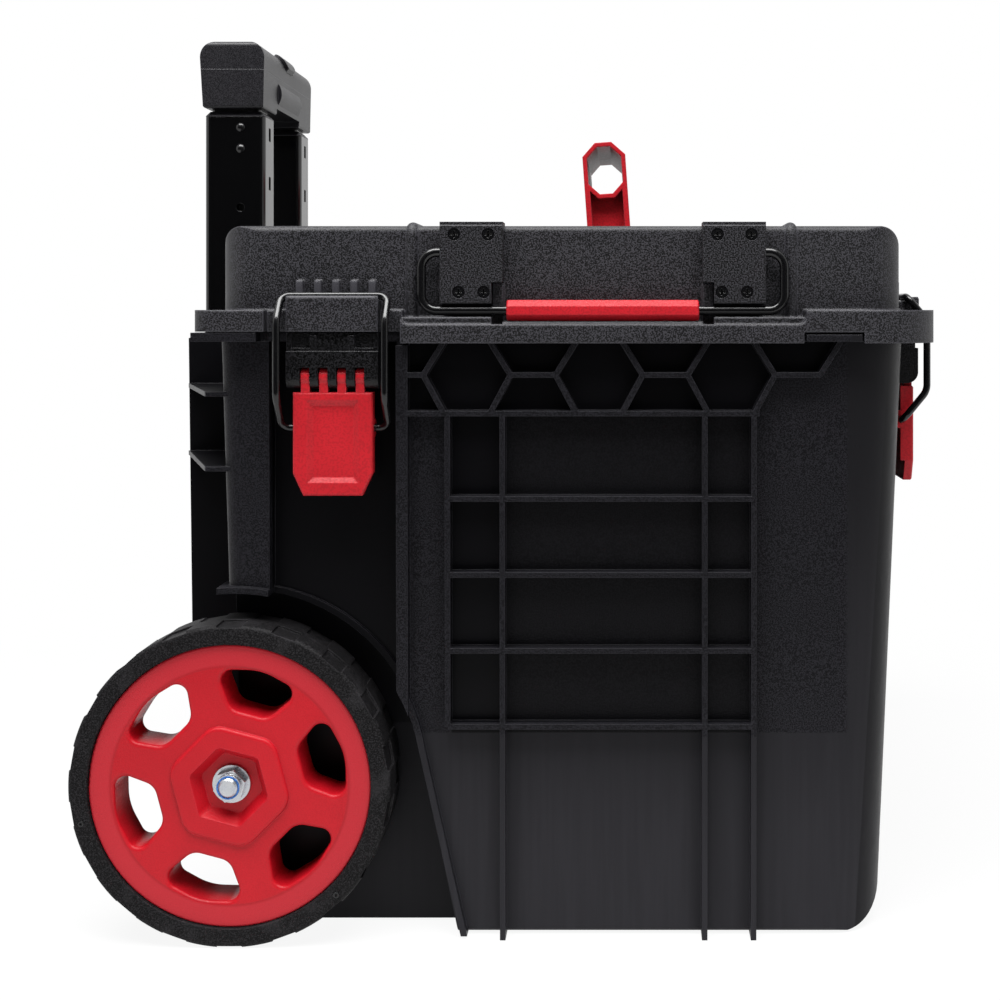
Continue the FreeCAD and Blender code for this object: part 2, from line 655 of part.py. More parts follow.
def tub_flange():
    """Flange round the rim, set back at the latches."""
    inset = SKIRT_WALL + SKIRT_GAP
    low = RIM - FLANGE_THICKNESS
    flange = plan_slab(SKIRT_BACK + inset, SKIRT_FRONT - inset, SKIRT_Y - inset, low, RIM,
                       BACK_CORNER_RADIUS, FRONT_CORNER_RADIUS)
    edge = SIDE_LATCH_X - BAY_HALF
    corner = box(SKIRT_BACK, edge, -SKIRT_Y + SEAT_GAP, -TUB_HALF_TOP, low, RIM - SEAT_GAP)
    tab = locating_tab(0)
    flange = joined([flange] + both_sides(corner) + both_sides(tab))
    return flange.cut(tube_passage(low - 1, RIM + 1))


def tube_passage(low, high):
    """Notch in the back edge that lets the tow handle's tubes and grip past."""
    half = GRIP_HALF + SKIRT_GAP
    return box(-FAR, TUBE_FRONT + GRIP_TOP_PROUD + BULGE_PROUD + SKIRT_GAP, -half, half, low, high)


def housing_outline(level, taper):
    back = TUBE_BACK - SLEEVE_WALL
    side_back = back + HOUSING_SIDE_CHAMFER + taper
    front = TUB_BACK_BOTTOM
    points = [(front, -HOUSING_HALF), (side_back, -HOUSING_HALF), (back, -HOUSING_SHOULDER),
              (back, HOUSING_SHOULDER), (side_back, HOUSING_HALF), (front, HOUSING_HALF)]
    corners = [V(x, y, level) for x, y in points]
    return Part.makePolygon(corners + corners[:1])


def tube_housing():
    """Rear housing that holds the tow handle's tubes, hollow between its sleeves."""
    top = RIM - FLANGE_THICKNESS
    wires = [housing_outline(HOUSING_FOOT, HOUSING_TAPER), housing_outline(top, 0)]
    solid = Part.makeLoft(wires, True, True)
    sleeve_half = TUBE_WIDTH / 2 + SLEEVE_CLEARANCE + SLEEVE_WALL
    inner_edge = TUBE_CENTRE_Y - sleeve_half
    outer_edge = TUBE_CENTRE_Y + sleeve_half
    back = TUBE_BACK
    front = TUB_BACK_BOTTOM
    low, high = HOUSING_FOOT - 1, top - HOUSING_WALL
    middle = box(back, front, -inner_edge, inner_edge, low, high)
    side = HOUSING_HALF - HOUSING_WALL
    outer = [(front, outer_edge), (back, outer_edge), (back, HOUSING_SHOULDER - HOUSING_WALL),
             (back + HOUSING_SIDE_CHAMFER + HOUSING_TAPER, side), (front, side)]
    return solid.cut([middle] + both_sides(slab(outer, "z", low, high)))


def gussets():
    """Flat plates from the tub's back corner out to the housing."""
    corner_y = DOME_Y
    root = TUB_BACK_TOP + GUSSET_ROOT
    plates = []
    for z in GUSSETS_Z:
        points = [(root, -corner_y), (TUB_BACK_TOP - GUSSET_REACH, -corner_y),
                  (TUBE_BACK + SLEEVE_WALL, -HOUSING_HALF), (root, -HOUSING_HALF + HOUSING_WALL)]
        plates += both_sides(slab(points, "z", z - GUSSET_THICKNESS / 2, z + GUSSET_THICKNESS / 2))
    return plates


def arch_lip():
    """Raised edge round the left wheel arch."""
    outer_y, inner_y = -TUB_HALF_TOP - ARCH_LIP_PROUD, -WELL_Y - WALL
    wide = ARCH_RADIUS + ARCH_LIP_WIDTH
    ring = rod(V(WHEEL_X, outer_y, WHEEL_RADIUS), V(WHEEL_X, inner_y, WHEEL_RADIUS), wide)
    ahead = box(TUB_BACK_TOP, WELL_SHOULDER_X + ARCH_LIP_WIDTH, outer_y, inner_y, WELL_SHOULDER_Z, FAR)
    strip = [(WELL_SHOULDER_X, WELL_SHOULDER_Z), (WELL_FOOT_X, TUB_FLOOR),
             (WELL_FOOT_X + ARCH_LIP_WIDTH, TUB_FLOOR), (WELL_SHOULDER_X + ARCH_LIP_WIDTH, WELL_SHOULDER_Z)]
    lip = ring.common(ahead).fuse(slab(strip, "y", outer_y, inner_y))
    bay_face = -SKIRT_Y + BAY_SETBACK - BAY_LIP_PROUD
    in_bay = box(SIDE_LATCH_X - BAY_HALF, SIDE_LATCH_X + BAY_HALF, -FAR, bay_face, 0, FAR)
    return lip.cut([well_cut(0), in_bay])


def latch_screw_spots():
    """Places of the screws that hold one latch, in the latch's own frame."""
    level = (LATCH_PIN_Z + COMB_TOP) / 2
    return [V(-BLOCK_HALF / 2, BAY_SETBACK, level), V(BLOCK_HALF / 2, BAY_SETBACK, level)]


def latch_screw_holes(radius, depth):
    before, behind = V(0, depth, 0), V(0, 2 * WALL, 0)
    return joined([rod(spot.sub(before), spot.add(behind), radius) for spot in latch_screw_spots()])


def axle_bar(radius, half):
    return rod(V(WHEEL_X, -half, WHEEL_RADIUS), V(WHEEL_X, half, WHEEL_RADIUS), radius)


def tube_bore(side):
    """Socket for one outer tube."""
    grow = SLEEVE_CLEARANCE
    y = side * TUBE_CENTRE_Y
    half = TUBE_WIDTH / 2 + grow
    points = [(TUBE_BACK - grow, y - half), (TUBE_FRONT + grow, y - half), (TUBE_FRONT + grow, y + half),
              (TUBE_BACK - grow, y + half)]
    return slab(points, "z", TUBE_FOOT, FAR, TUBE_RADIUS)


def box_body():
    ribs = side_ribs().common(rib_envelope()).cut(well_cut(0))
    solids = [rounded_tub(0, TUB_FLOOR).cut(recesses()), tub_flange(), tube_housing()]
    solids.append(front_ribs().cut(front_bay_cut(0)))
    solids += both_sides(ribs) + gussets() + both_sides(arch_lip())
    solids.append(axle_bar(AXLE_TUNNEL_RADIUS, WELL_Y))
    shell = joined(solids).cut(latch_zones())
    cavity = rounded_tub(WALL, TUB_FLOOR + FLOOR_THICKNESS)
    cavity = cavity.cut(recesses(WALL)).cut(axle_bar(AXLE_TUNNEL_RADIUS, FAR))
    shell = shell.cut(cavity)
    cuts = [tube_bore(side) for _, side in SIDES]
    cuts.append(axle_bar(AXLE_RADIUS + SEAT_CLEARANCE, FAR))
    cuts += at_latches(latch_screw_holes(LATCH_SCREW_RADIUS, 1))
    cuts += tube_screw_bars(TUBE_SCREW_RADIUS + SEAT_CLEARANCE)
    return shell.cut(cuts)


# ---------------------------------------------------------------- lid
def dome_form(inset, foot, top):
    """Raised middle of the lid, its faces moved in by the inset."""
    back, front, half = DOME_BACK + inset, DOME_FRONT - inset, DOME_Y - inset
    end_radius = DOME_END_RADIUS - inset
    side_radius = max(DOME_SIDE_RADIUS - inset, SMALLEST_RADIUS)
    corner = DOME_CORNER_RADIUS - inset
    side_view = slab([(back, foot), (front, foot), (front, top), (back, top)], "y", -FAR, FAR,
                     [0, 0, end_radius, end_radius])
    front_view = slab([(-half, foot), (half, foot), (half, top), (-half, top)], "x", -FAR, FAR,
                      [0, 0, side_radius, side_radius])
    plan = plan_slab(back, front, half, foot, top, corner, corner)
    return plan.common(side_view).common(front_view)


def pocket(grow, top):
    """Pocket that the top handle folds forward into."""
    half = TOP_HALF_LENGTH + POCKET_SIDE_GAP + grow
    back = TOP_PIVOT_X - TOP_GRIP_WIDTH / 2 - POCKET_END_GAP - grow
    front = TOP_PIVOT_X + TOP_GRIP_CENTRE + TOP_GRIP_HEIGHT / 2 + POCKET_END_GAP + grow
    radius = POCKET_CORNER_RADIUS
    return plan_slab(back, front, half, POCKET_FLOOR - grow, top, radius, radius)


def lid_beads():
    """Half-round bars over the dome and down its sides."""
    sink = BEAD_RADIUS - BEAD_PROUD
    bars = []
    back = HANDLE_CENTRE_X - BAIL_HANDLE_HALF - BEAD_BACK_OUTSIDE
    front = HANDLE_CENTRE_X + BAIL_HANDLE_HALF + BEAD_FRONT_OUTSIDE
    for x in (back, front):
        y = DOME_Y - sink
        z = DOME_TOP - sink
        points = [V(x, -y, TROUGH_FLOOR - 1), V(x, -y, z), V(x, y, z), V(x, y, TROUGH_FLOOR - 1)]
        bars.append(bent_bar(points, [DOME_SIDE_RADIUS, DOME_SIDE_RADIUS], BEAD_RADIUS))
    return bars


def hook_block():
    """Catch for one latch bail: a block with a thin crest in front of the bar's seat."""
    seat = BAIL_BAR_Z - BAIL_WIRE_RADIUS - SEAT_GAP
    back = SKIRT_OVERHANG + DOME_SETBACK + 1
    side = [(0, LID_EDGE), (back, LID_EDGE), (back, seat), (CREST_THICKNESS, seat),
            (CREST_THICKNESS, BAIL_BAR_Z), (CREST_LEAD, BAIL_BAR_Z), (0, BAIL_BAR_Z - CREST_LEAD_HEIGHT)]
    parts = [slab(side, "x", -BLOCK_HALF, BLOCK_HALF)]
    rib_front = BAIL_BAR_SETBACK + BAIL_WIRE_RADIUS + HOOK_RIB_GAP
    half = HOOK_RIB_WIDTH / 2
    for number in range(HOOK_RIB_COUNT):
        x = HOOK_RIB_PITCH * (number - (HOOK_RIB_COUNT - 1) / 2)
        parts.append(box(x - half, x + half, rib_front, back, seat - 1, HOOK_RIB_TOP))
    hollow = box(-FAR, FAR, SKIRT_WALL + BLOCK_SHELF, FAR, 0, LID_UNDERSIDE)
    return joined(parts).cut(hollow)


def trough_strips():
    """Raised strips in the left trough: low under the side handle's grip, higher beside it."""
    outer, inner = -SKIRT_Y + STRIP_INSET, -DOME_Y + 1
    low = TROUGH_FLOOR - 1
    stop = SIDE_GRIP_HALF + STOP_OUTSIDE
    back, front = HANDLE_CENTRE_X - stop, HANDLE_CENTRE_X + stop
    spans = [(TROUGH_BACK_X, back - STRIP_SLOT_HALF, STRIP_HIGH),
             (back + STRIP_SLOT_HALF, front - STRIP_SLOT_HALF, STRIP_LOW),
             (front + STRIP_SLOT_HALF, TROUGH_FRONT_X, STRIP_HIGH)]
    return [box(a, b, outer, inner, low, TROUGH_FLOOR + height) for a, b, height in spans]


def lid_ledge():
    """Lid's edge: a ledge with its skirt, lower beside the side handle and cut away at the latches."""
    low = RIM - SKIRT_DEPTH
    ledge = plan_slab(SKIRT_BACK, SKIRT_FRONT, SKIRT_Y, low, LEDGE_TOP, BACK_CORNER_RADIUS,
                      FRONT_CORNER_RADIUS)
    trough = slab([(TROUGH_BACK_X, FAR), (TROUGH_BACK_X, TROUGH_FLOOR), (TROUGH_FRONT_X, TROUGH_FLOOR),
                   (TROUGH_FRONT_X, FAR)], "y", -FAR, -DOME_Y,
                  [0, TROUGH_CORNER_RADIUS, TROUGH_CORNER_RADIUS, 0])
    behind = box(-FAR, TROUGH_BACK_X, -FAR, FAR, low - 1, LID_EDGE)
    zone = box(-BAY_HALF, BAY_HALF, -FAR / 10, ZONE_SETBACK, low - 1, FAR)
    under_zone = box(-BAY_HALF, BAY_HALF, -FAR / 10, FAR / 10, low - 1, LID_EDGE)
    cuts = both_sides(trough) + [behind] + at_latches(zone) + at_latches(under_zone)
    cuts += both_sides(locating_tab(TAB_CLEARANCE))
    ledge = ledge.cut(cuts)
    under = plan_slab(SKIRT_BACK + SKIRT_WALL, SKIRT_FRONT - SKIRT_WALL, SKIRT_Y - SKIRT_WALL, low - 1,
                      LID_UNDERSIDE, BACK_CORNER_RADIUS, FRONT_CORNER_RADIUS - SKIRT_WALL)
    side = BAY_HALF + SKIRT_WALL
    keep = box(-side, side, -FAR / 10, ZONE_SETBACK + ZONE_WALL, low - 2, LID_UNDERSIDE + 1)
    return ledge.cut(under.cut(at_latches(keep)))


def bail_stops():
    """Small blocks on the dome that the side handles' wires rest against."""
    stops = []
    front = -SIDE_WIRE_Y + SIDE_WIRE_RADIUS + SEAT_GAP
    for sign in (-1, 1):
        x = HANDLE_CENTRE_X + sign * (SIDE_GRIP_HALF + STOP_OUTSIDE)
        stops += both_sides(box(x - STOP_HALF, x + STOP_HALF, front, -DOME_Y + 1, TROUGH_FLOOR - 1, STOP_TOP))
    return stops


def lid():
    dome = dome_form(0, LID_UNDERSIDE, DOME_TOP)
    strips = [copy for strip in trough_strips() for copy in both_sides(strip)]
    shell = joined([lid_ledge(), dome] + strips + lid_beads() + at_latches(hook_block()) + bail_stops())
    hollow = dome_form(LID_WALL, RIM - SKIRT_DEPTH - 1, DOME_TOP - LID_WALL)
    hollow = hollow.cut([pocket(LID_WALL, FAR)] + [top_pin_boss(side) for _, side in SIDES])
    cuts = [hollow, pocket(0, FAR), tube_passage(0, LEDGE_TOP + 1)]
    for _, side in SIDES:
        cuts.append(top_pin_bar(side, TOP_PIN_RADIUS + SEAT_CLEARANCE))
        cuts += plate_screw_bars(side, PLATE_SHANK_RADIUS, 0)
    return shell.cut(cuts)


def lid_gasket():
    """Rubber ring between the tub's rim and the lid."""
    half = GASKET_WIDTH / 2
    ring = plan_slab(TUB_BACK_TOP - half, TUB_FRONT_TOP + half, TUB_HALF_TOP + half, RIM, LID_UNDERSIDE,
                     BACK_CORNER_RADIUS + half, FRONT_CORNER_RADIUS + half)
    hole = plan_slab(TUB_BACK_TOP + half, TUB_FRONT_TOP - half, TUB_HALF_TOP - half, RIM - 1,
                     LID_UNDERSIDE + 1, BACK_CORNER_RADIUS - half, FRONT_CORNER_RADIUS - half)
    return ring.cut(hole)


# ---------------------------------------------------------------- draw latches, in their own frame
def finger_places():
    return [FINGER_PITCH * (number - (FINGER_COUNT - 1) / 2) for number in range(FINGER_COUNT)]


def latch_axle(half, radius):
    """Bar along the lever's pin."""
    y, z = LATCH_PIN_SETBACK, LATCH_PIN_Z
    return rod(V(-half, y, z), V(half, y, z), radius)


def latch_base():
    """Comb that carries the lever's pin, with the block that seats on the bay's wall."""
    front = LATCH_PIN_SETBACK - COMB_NOSE_RADIUS
    foot = LATCH_PIN_Z - COMB_NOSE_RADIUS
    deep = LATCH_PIN_SETBACK + LEVER_EYE_RADIUS + COMB_SPACE
    under_flange = RIM - FLANGE_THICKNESS - 1
    band, top = front + COMB_STEP, RIM - SEAT_GAP
    side = [(front, foot), (BAY_SETBACK, foot), (BAY_SETBACK, under_flange), (ZONE_SETBACK, under_flange),
            (ZONE_SETBACK, top), (band, top), (band, COMB_TOP), (front, COMB_TOP)]
    base = slab(side, "x", -BLOCK_HALF, BLOCK_HALF, [COMB_NOSE_RADIUS, 0, 0, 0, 0, 0, 0, 0])
    half = FINGER_WIDTH / 2 + FINGER_CLEARANCE
    over_eye = LATCH_PIN_Z + LEVER_EYE_RADIUS + FINGER_CLEARANCE
    cuts = [box(x - half, x + half, front - 1, deep, foot - 1, over_eye) for x in finger_places()]
    clips = []
    for sign in (-1, 1):
        x = sign * (BLOCK_HALF - 1.5 * BASE_WINDOW_HALF)
        cuts.append(box(x - BASE_WINDOW_HALF, x + BASE_WINDOW_HALF, front, band + BASE_WINDOW_DEPTH,
                        COMB_TOP + COMB_STEP, RIM))
        x = sign * CLIP_SPOT
        clips.append(box(x - CLIP_HALF, x + CLIP_HALF, front + COMB_STEP / 4, band + 1, COMB_TOP - 1,
                         RIM - COMB_STEP))
    cuts.append(latch_axle(BLOCK_HALF - PIN_END_INSET, LATCH_PIN_RADIUS + SEAT_CLEARANCE))
    cuts.append(latch_screw_holes(LATCH_SCREW_RADIUS, LATCH_SCREW_REACH))
    return joined([base] + clips).cut(cuts)


def latch_pin():
    return latch_axle(BLOCK_HALF - PIN_END_INSET - SEAT_CLEARANCE, LATCH_PIN_RADIUS)


def latch_screws():
    """Two screws from inside the tub into the latch base."""
    screws = []
    for spot in latch_screw_spots():
        seat = spot.add(V(0, WALL, 0))
        shank = rod(spot.sub(V(0, LATCH_SCREW_REACH, 0)), seat, LATCH_SCREW_RADIUS - SEAT_CLEARANCE)
        screws.append(shank.fuse(rod(seat, seat.add(V(0, SCREW_HEAD_HEIGHT, 0)), SCREW_HEAD_RADIUS)))
    return Part.makeCompound(screws)


def lever_plate():
    """Lever's plate with chamfered edges and a sunk panel."""
    face, half = LEVER_FACE, LEVER_HALF
    shape = [(-half, LEVER_TOP), (-half, LEVER_FOOT + LEVER_CHAMFER_Z), (-half + LEVER_CHAMFER_X, LEVER_FOOT),
             (half - LEVER_CHAMFER_X, LEVER_FOOT), (half, LEVER_FOOT + LEVER_CHAMFER_Z), (half, LEVER_TOP)]
    plate = slab(shape, "y", face, face + LEVER_THICKNESS)
    edges = [edge for edge in plate.Edges if abs(edge.BoundBox.YMax - face) < 0.01]
    plate = plate.makeChamfer(LEVER_EDGE_CHAMFER, edges)
    rings = []
    for inset, depth in ((PANEL_INSET, -0.01), (PANEL_INSET + PANEL_SLOPE, PANEL_DEPTH)):
        low, high = LEVER_FOOT + inset - PANEL_LIFT, LEVER_TOP - inset + 4 * PANEL_LIFT
        corners = [V(-half + inset, face + depth, low), V(half - inset, face + depth, low),
                   V(half - inset, face + depth, high), V(-half + inset, face + depth, high)]
        rings.append(Part.makePolygon(corners + corners[:1]))
    return plate.cut(Part.makeLoft(rings, True, True))


def latch_lever():
    """Red lever: its plate, fingers round the pin and two ears for the bail."""
    face, back, half = LEVER_FACE, LEVER_FACE + LEVER_THICKNESS, LEVER_HALF
    y, z = LATCH_PIN_SETBACK, LATCH_PIN_Z
    parts = [lever_plate()]
    for x in finger_places():
        a, b = x - FINGER_WIDTH / 2, x + FINGER_WIDTH / 2
        eye = rod(V(a, y, z), V(b, y, z), LEVER_EYE_RADIUS)
        parts.append(eye.fuse(box(a, b, face + SEAT_GAP, back, LEVER_TOP - 1, z)))
    pivot_y, pivot_z = BAIL_PIVOT_SETBACK, BAIL_PIVOT_Z
    for sign in (-1, 1):
        a, b = sorted((sign * (half - EAR_WIDTH), sign * half))
        eye = rod(V(a, pivot_y, pivot_z), V(b, pivot_y, pivot_z), LEVER_EYE_RADIUS)
        neck = box(a, b, back - 1, pivot_y, pivot_z - LEVER_EYE_RADIUS, pivot_z + LEVER_EYE_RADIUS)
        a, b = sorted((sign * (half - LEVER_RIM), sign * half))
        rim = box(a, b, back - 1, back + LEVER_RIM, LEVER_FOOT + LEVER_CHAMFER_Z, LEVER_TOP)
        parts += [eye, neck, rim]
    in_front = box(-FAR, FAR, -FAR, face, 0, z - LEVER_EYE_RADIUS)
    pin_hole = latch_axle(half, LATCH_PIN_RADIUS + RUNNING_CLEARANCE)
    reach, hole = half + 1, BAIL_WIRE_RADIUS + RUNNING_CLEARANCE
    bail_hole = rod(V(-reach, pivot_y, pivot_z), V(reach, pivot_y, pivot_z), hole)
    return joined(parts).cut([in_front, pin_hole, bail_hole])


def latch_bail():
    """Wire loop from the lever's ears up and over the lid's catch."""
    tail = LEVER_HALF - EAR_WIDTH
    half, y, z = BAIL_HALF, BAIL_PIVOT_SETBACK, BAIL_PIVOT_Z
    knee = z + BAIL_KNEE
    shoulder = BAIL_BAR_Z - BAIL_SHOULDER
    right = [V(tail, y, z), V(half, y, z), V(half, BAIL_FRONT, knee), V(half, BAIL_FRONT, shoulder),
             V(half, BAIL_BAR_SETBACK, BAIL_BAR_Z)]
    left = [V(-point.x, point.y, point.z) for point in reversed(right)]
    return bent_bar(right + left, BAIL_BENDS + BAIL_BENDS[::-1], BAIL_WIRE_RADIUS)


# ---------------------------------------------------------------- side handles
def side_wire():
    """Left side handle's wire, hanging down."""
    left = HANDLE_CENTRE_X - BAIL_HANDLE_HALF
    right = HANDLE_CENTRE_X + BAIL_HANDLE_HALF
    y, top, low = -SIDE_WIRE_Y, SIDE_PIVOT_Z, SIDE_PIVOT_Z - SIDE_DROP
    reach = BAIL_HANDLE_HALF - PLATE_CENTRE - PLATE_HALF + WIRE_TAIL
    points = [V(left + reach, y, top), V(left, y, top), V(left, y, low), V(right, y, low), V(right, y, top),
              V(right - reach, y, top)]
    return bent_bar(points, [SIDE_BEND] * 4, SIDE_WIRE_RADIUS)


def side_grip():
    """Eight-sided red sleeve on the wire."""
    radius = SIDE_GRIP_FLATS / 2 / math.cos(math.radians(22.5))
    low = SIDE_PIVOT_Z - SIDE_DROP
    a, b = HANDLE_CENTRE_X - SIDE_GRIP_HALF, HANDLE_CENTRE_X + SIDE_GRIP_HALF
    grip = slab(regular(8, radius, 22.5, (-SIDE_WIRE_Y, low)), "x", a, b)
    ends = [edge for edge in grip.Edges if edge.BoundBox.XLength < 0.01]
    grip = grip.makeChamfer(SIDE_GRIP_CHAMFER, ends)
    bore = rod(V(a - 1, -SIDE_WIRE_Y, low), V(b + 1, -SIDE_WIRE_Y, low), SIDE_WIRE_RADIUS + SEAT_CLEARANCE)
    return grip.cut(bore)


def plates_along_x():
    """Centre of each cover plate, and the way from it to the handle's middle."""
    return [(HANDLE_CENTRE_X - PLATE_CENTRE, 1), (HANDLE_CENTRE_X + PLATE_CENTRE, -1)]


def plate_screw_spots(side):
    """Screws' centres on a plate's face: wide apart at the top, closer together at the foot."""
    spots = []
    for x, _ in plates_along_x():
        for away, level in (PLATE_TOP_SCREWS, PLATE_LOW_SCREWS):
            spots += [V(x + sign * away, side * PLATE_Y, level) for sign in (-1, 1)]
    return spots


def plate_screw_bars(side, radius, proud):
    """Bars along Y at each plate screw, from inside the dome to the plate's face."""
    inner, outer = side * (DOME_Y - PLATE_SHANK_REACH - 1), side * (PLATE_Y + proud)
    spots = plate_screw_spots(side)
    return [rod(V(spot.x, inner, spot.z), V(spot.x, outer, spot.z), radius) for spot in spots]


def bail_plates(side):
    """Two cover plates that hold one side handle's wire ends."""
    inner, outer = sorted((side * DOME_Y, side * PLATE_Y))
    lip_face = side * (PLATE_Y - PLATE_EDGE_RADIUS)
    lip_inner, lip_outer = sorted((side * (DOME_Y - PLATE_LIP_DEPTH), lip_face))
    root_inner, root_outer = sorted((side * DOME_Y, lip_face))
    y = side * SIDE_WIRE_Y
    wire = SIDE_WIRE_RADIUS + RUNNING_CLEARANCE
    tail = WIRE_TAIL + WIRE_END_PLAY
    plates = []
    for x, inward in plates_along_x():
        left, right = x - PLATE_HALF, x + PLATE_HALF
        plate = box(left, right, inner, outer, PLATE_FOOT, DOME_TOP)
        flat = [edge for edge in plate.Edges if edge.BoundBox.YLength < 0.01]
        edges = [edge for edge in flat if abs(abs(edge.BoundBox.YMin) - PLATE_Y) < 0.01]
        plate = plate.makeFillet(PLATE_EDGE_RADIUS, edges)
        lip = box(left, right, lip_inner, lip_outer, DOME_TOP + PLATE_LIP_GAP, PLATE_TOP)
        root = box(left, right, root_inner, root_outer, DOME_TOP - 2 * PLATE_EDGE_RADIUS, PLATE_TOP)
        a, b = sorted((x + inward * (PLATE_HALF - PLATE_NOTCH_WIDTH), x + inward * (PLATE_HALF + 1)))
        notch = box(a, b, inner - 1, outer + 1, PLATE_FOOT - 1, PLATE_FOOT + PLATE_NOTCH_HEIGHT)
        wire_out = x - inward * PLATE_HALF
        start, end = V(wire_out - inward, y, SIDE_PIVOT_Z), V(wire_out + inward * tail, y, SIDE_PIVOT_Z)
        channel = rod(start, end, wire)
        plates.append(plate.fuse([lip, root]).cut([notch, channel]))
    seat, proud = side * (PLATE_Y - PLATE_HEAD_DEPTH), side * (PLATE_Y + 1)
    cuts = plate_screw_bars(side, PLATE_SHANK_RADIUS, 1)
    sink = PLATE_SCREW_RADIUS + SEAT_CLEARANCE
    for spot in plate_screw_spots(side):
        cuts.append(rod(V(spot.x, seat, spot.z), V(spot.x, proud, spot.z), sink))
    return Part.makeCompound([plate.cut(cuts) for plate in plates])


def screw_cross(side):
    """Cross-shaped recess at the origin, into a head that faces the side."""
    bars = [box(-CROSS_HALF, CROSS_HALF, -CROSS_WIDTH_HALF, CROSS_WIDTH_HALF, -CROSS_DEPTH, 0.1),
            box(-CROSS_WIDTH_HALF, CROSS_WIDTH_HALF, -CROSS_HALF, CROSS_HALF, -CROSS_DEPTH, 0.1)]
    cross = joined(bars)
    cross.rotate(V(0, 0, 0), V(1, 0, 0), -90 * side)
    return cross


def plate_screws():
    """Sixteen cross-head screws of the four plates."""
    screws = []
    for _, side in SIDES:
        for spot in plate_screw_spots(side):
            seat = V(spot.x, side * (PLATE_Y - PLATE_HEAD_DEPTH), spot.z)
            tip = V(spot.x, side * (DOME_Y - PLATE_SHANK_REACH), spot.z)
            top = V(spot.x, side * (PLATE_Y - PLATE_HEAD_SINK), spot.z)
            shank = rod(tip, seat, PLATE_SHANK_RADIUS - SEAT_CLEARANCE)
            head = rod(seat, top, PLATE_SCREW_RADIUS)
            screws.append(head.fuse(shank).cut(placed(screw_cross(side), top, 0)))
    return Part.makeCompound(screws)


# ---------------------------------------------------------------- top handle
def octagon(half_width, half_height, cut):
    """Long octagon about the origin, corners cut by the same amount at each end."""
    w, h = half_width, half_height
    right = [(w - cut, -h), (w, -h + cut), (w, h - cut), (w - cut, h)]
    left = [(-w + cut, h), (-w, h - cut), (-w, -h + cut), (-w + cut, -h)]
    return right + left


def grip_octagon(inset, reach, facet):
    """Top handle's grip, above its pivot, with its faces moved in."""
    shape = octagon(TOP_GRIP_WIDTH / 2 - inset, TOP_GRIP_HEIGHT / 2 - inset, facet)
    return slab([(a, b + TOP_GRIP_CENTRE) for a, b in shape], "y", -reach, reach)


def top_arm(sign):
    """Channel-shaped arm, open outwards, rounded at the pivot."""
    half = TOP_GRIP_WIDTH / 2
    top = TOP_GRIP_CENTRE - TOP_GRIP_HEIGHT / 2 + TOP_GRIP_FACET + 1
    root = TOP_HALF_LENGTH - TOP_ARM_THICKNESS
    a, b = sorted((sign * root, sign * TOP_HALF_LENGTH))
    arm = box(-half, half, a, b, 0, top).fuse(rod(V(0, a, 0), V(0, b, 0), half))
    c, d = sorted((sign * (root + TOP_ARM_WEB), sign * (TOP_HALF_LENGTH + 1)))
    inner, low, high = half - TOP_ARM_FLANGE, TOP_ARM_POCKET_FOOT, top - TOP_ARM_FLANGE
    slant = TOP_ARM_POCKET_SLANT
    channel = [(-inner, low), (inner, low), (inner, high), (inner - slant, high - slant),
               (-inner + slant, high - slant), (-inner, high)]
    return arm.cut(slab(channel, "y", c, d))


def top_handle():
    """Red handle: a hollow eight-sided grip on two arms, leaning back on its stop."""
    reach = TOP_HALF_LENGTH + 1
    handle = joined([grip_octagon(0, TOP_HALF_LENGTH, TOP_GRIP_FACET), top_arm(-1), top_arm(1)])
    bore = rod(V(0, -reach, 0), V(0, reach, 0), TOP_PIN_RADIUS + RUNNING_CLEARANCE)
    handle = handle.cut([grip_octagon(TOP_GRIP_WALL, reach, TOP_GRIP_INNER_FACET), bore])
    handle.rotate(V(0, 0, 0), V(0, 1, 0), -TOP_LEAN)
    handle.translate(V(TOP_PIVOT_X, 0, TOP_PIVOT_Z))
    return handle


def pivot_bar(start, end, radius):
    """Bar along the top handle's pivot."""
    return rod(V(TOP_PIVOT_X, start, TOP_PIVOT_Z), V(TOP_PIVOT_X, end, TOP_PIVOT_Z), radius)


def top_pin_bar(side, radius):
    inner = TOP_HALF_LENGTH - TOP_ARM_THICKNESS + TOP_PIN_BITE
    outer = TOP_HALF_LENGTH + POCKET_SIDE_GAP + TOP_PIN_REACH
    return pivot_bar(side * inner, side * outer, radius)


def top_pin_boss(side):
    """Boss on the pocket's wall, under the lid's top, that holds a pin."""
    start = TOP_HALF_LENGTH + POCKET_SIDE_GAP
    return pivot_bar(side * start, side * (start + TOP_BOSS_REACH), TOP_PIN_RADIUS + TOP_BOSS_WALL)


def top_pins():
    return Part.makeCompound([top_pin_bar(side, TOP_PIN_RADIUS) for _, side in SIDES])


# ---------------------------------------------------------------- tow handle
def tube_profile(depth, width, low, high, radius, side):
    """Rectangular bar with rounded corners, upright, centred on a tube."""
    y = side * TUBE_CENTRE_Y
    points = [(TUBE_X - depth / 2, y - width / 2), (TUBE_X + depth / 2, y - width / 2),
              (TUBE_X + depth / 2, y + width / 2), (TUBE_X - depth / 2, y + width / 2)]
    return slab(points, "z", low, high, radius)


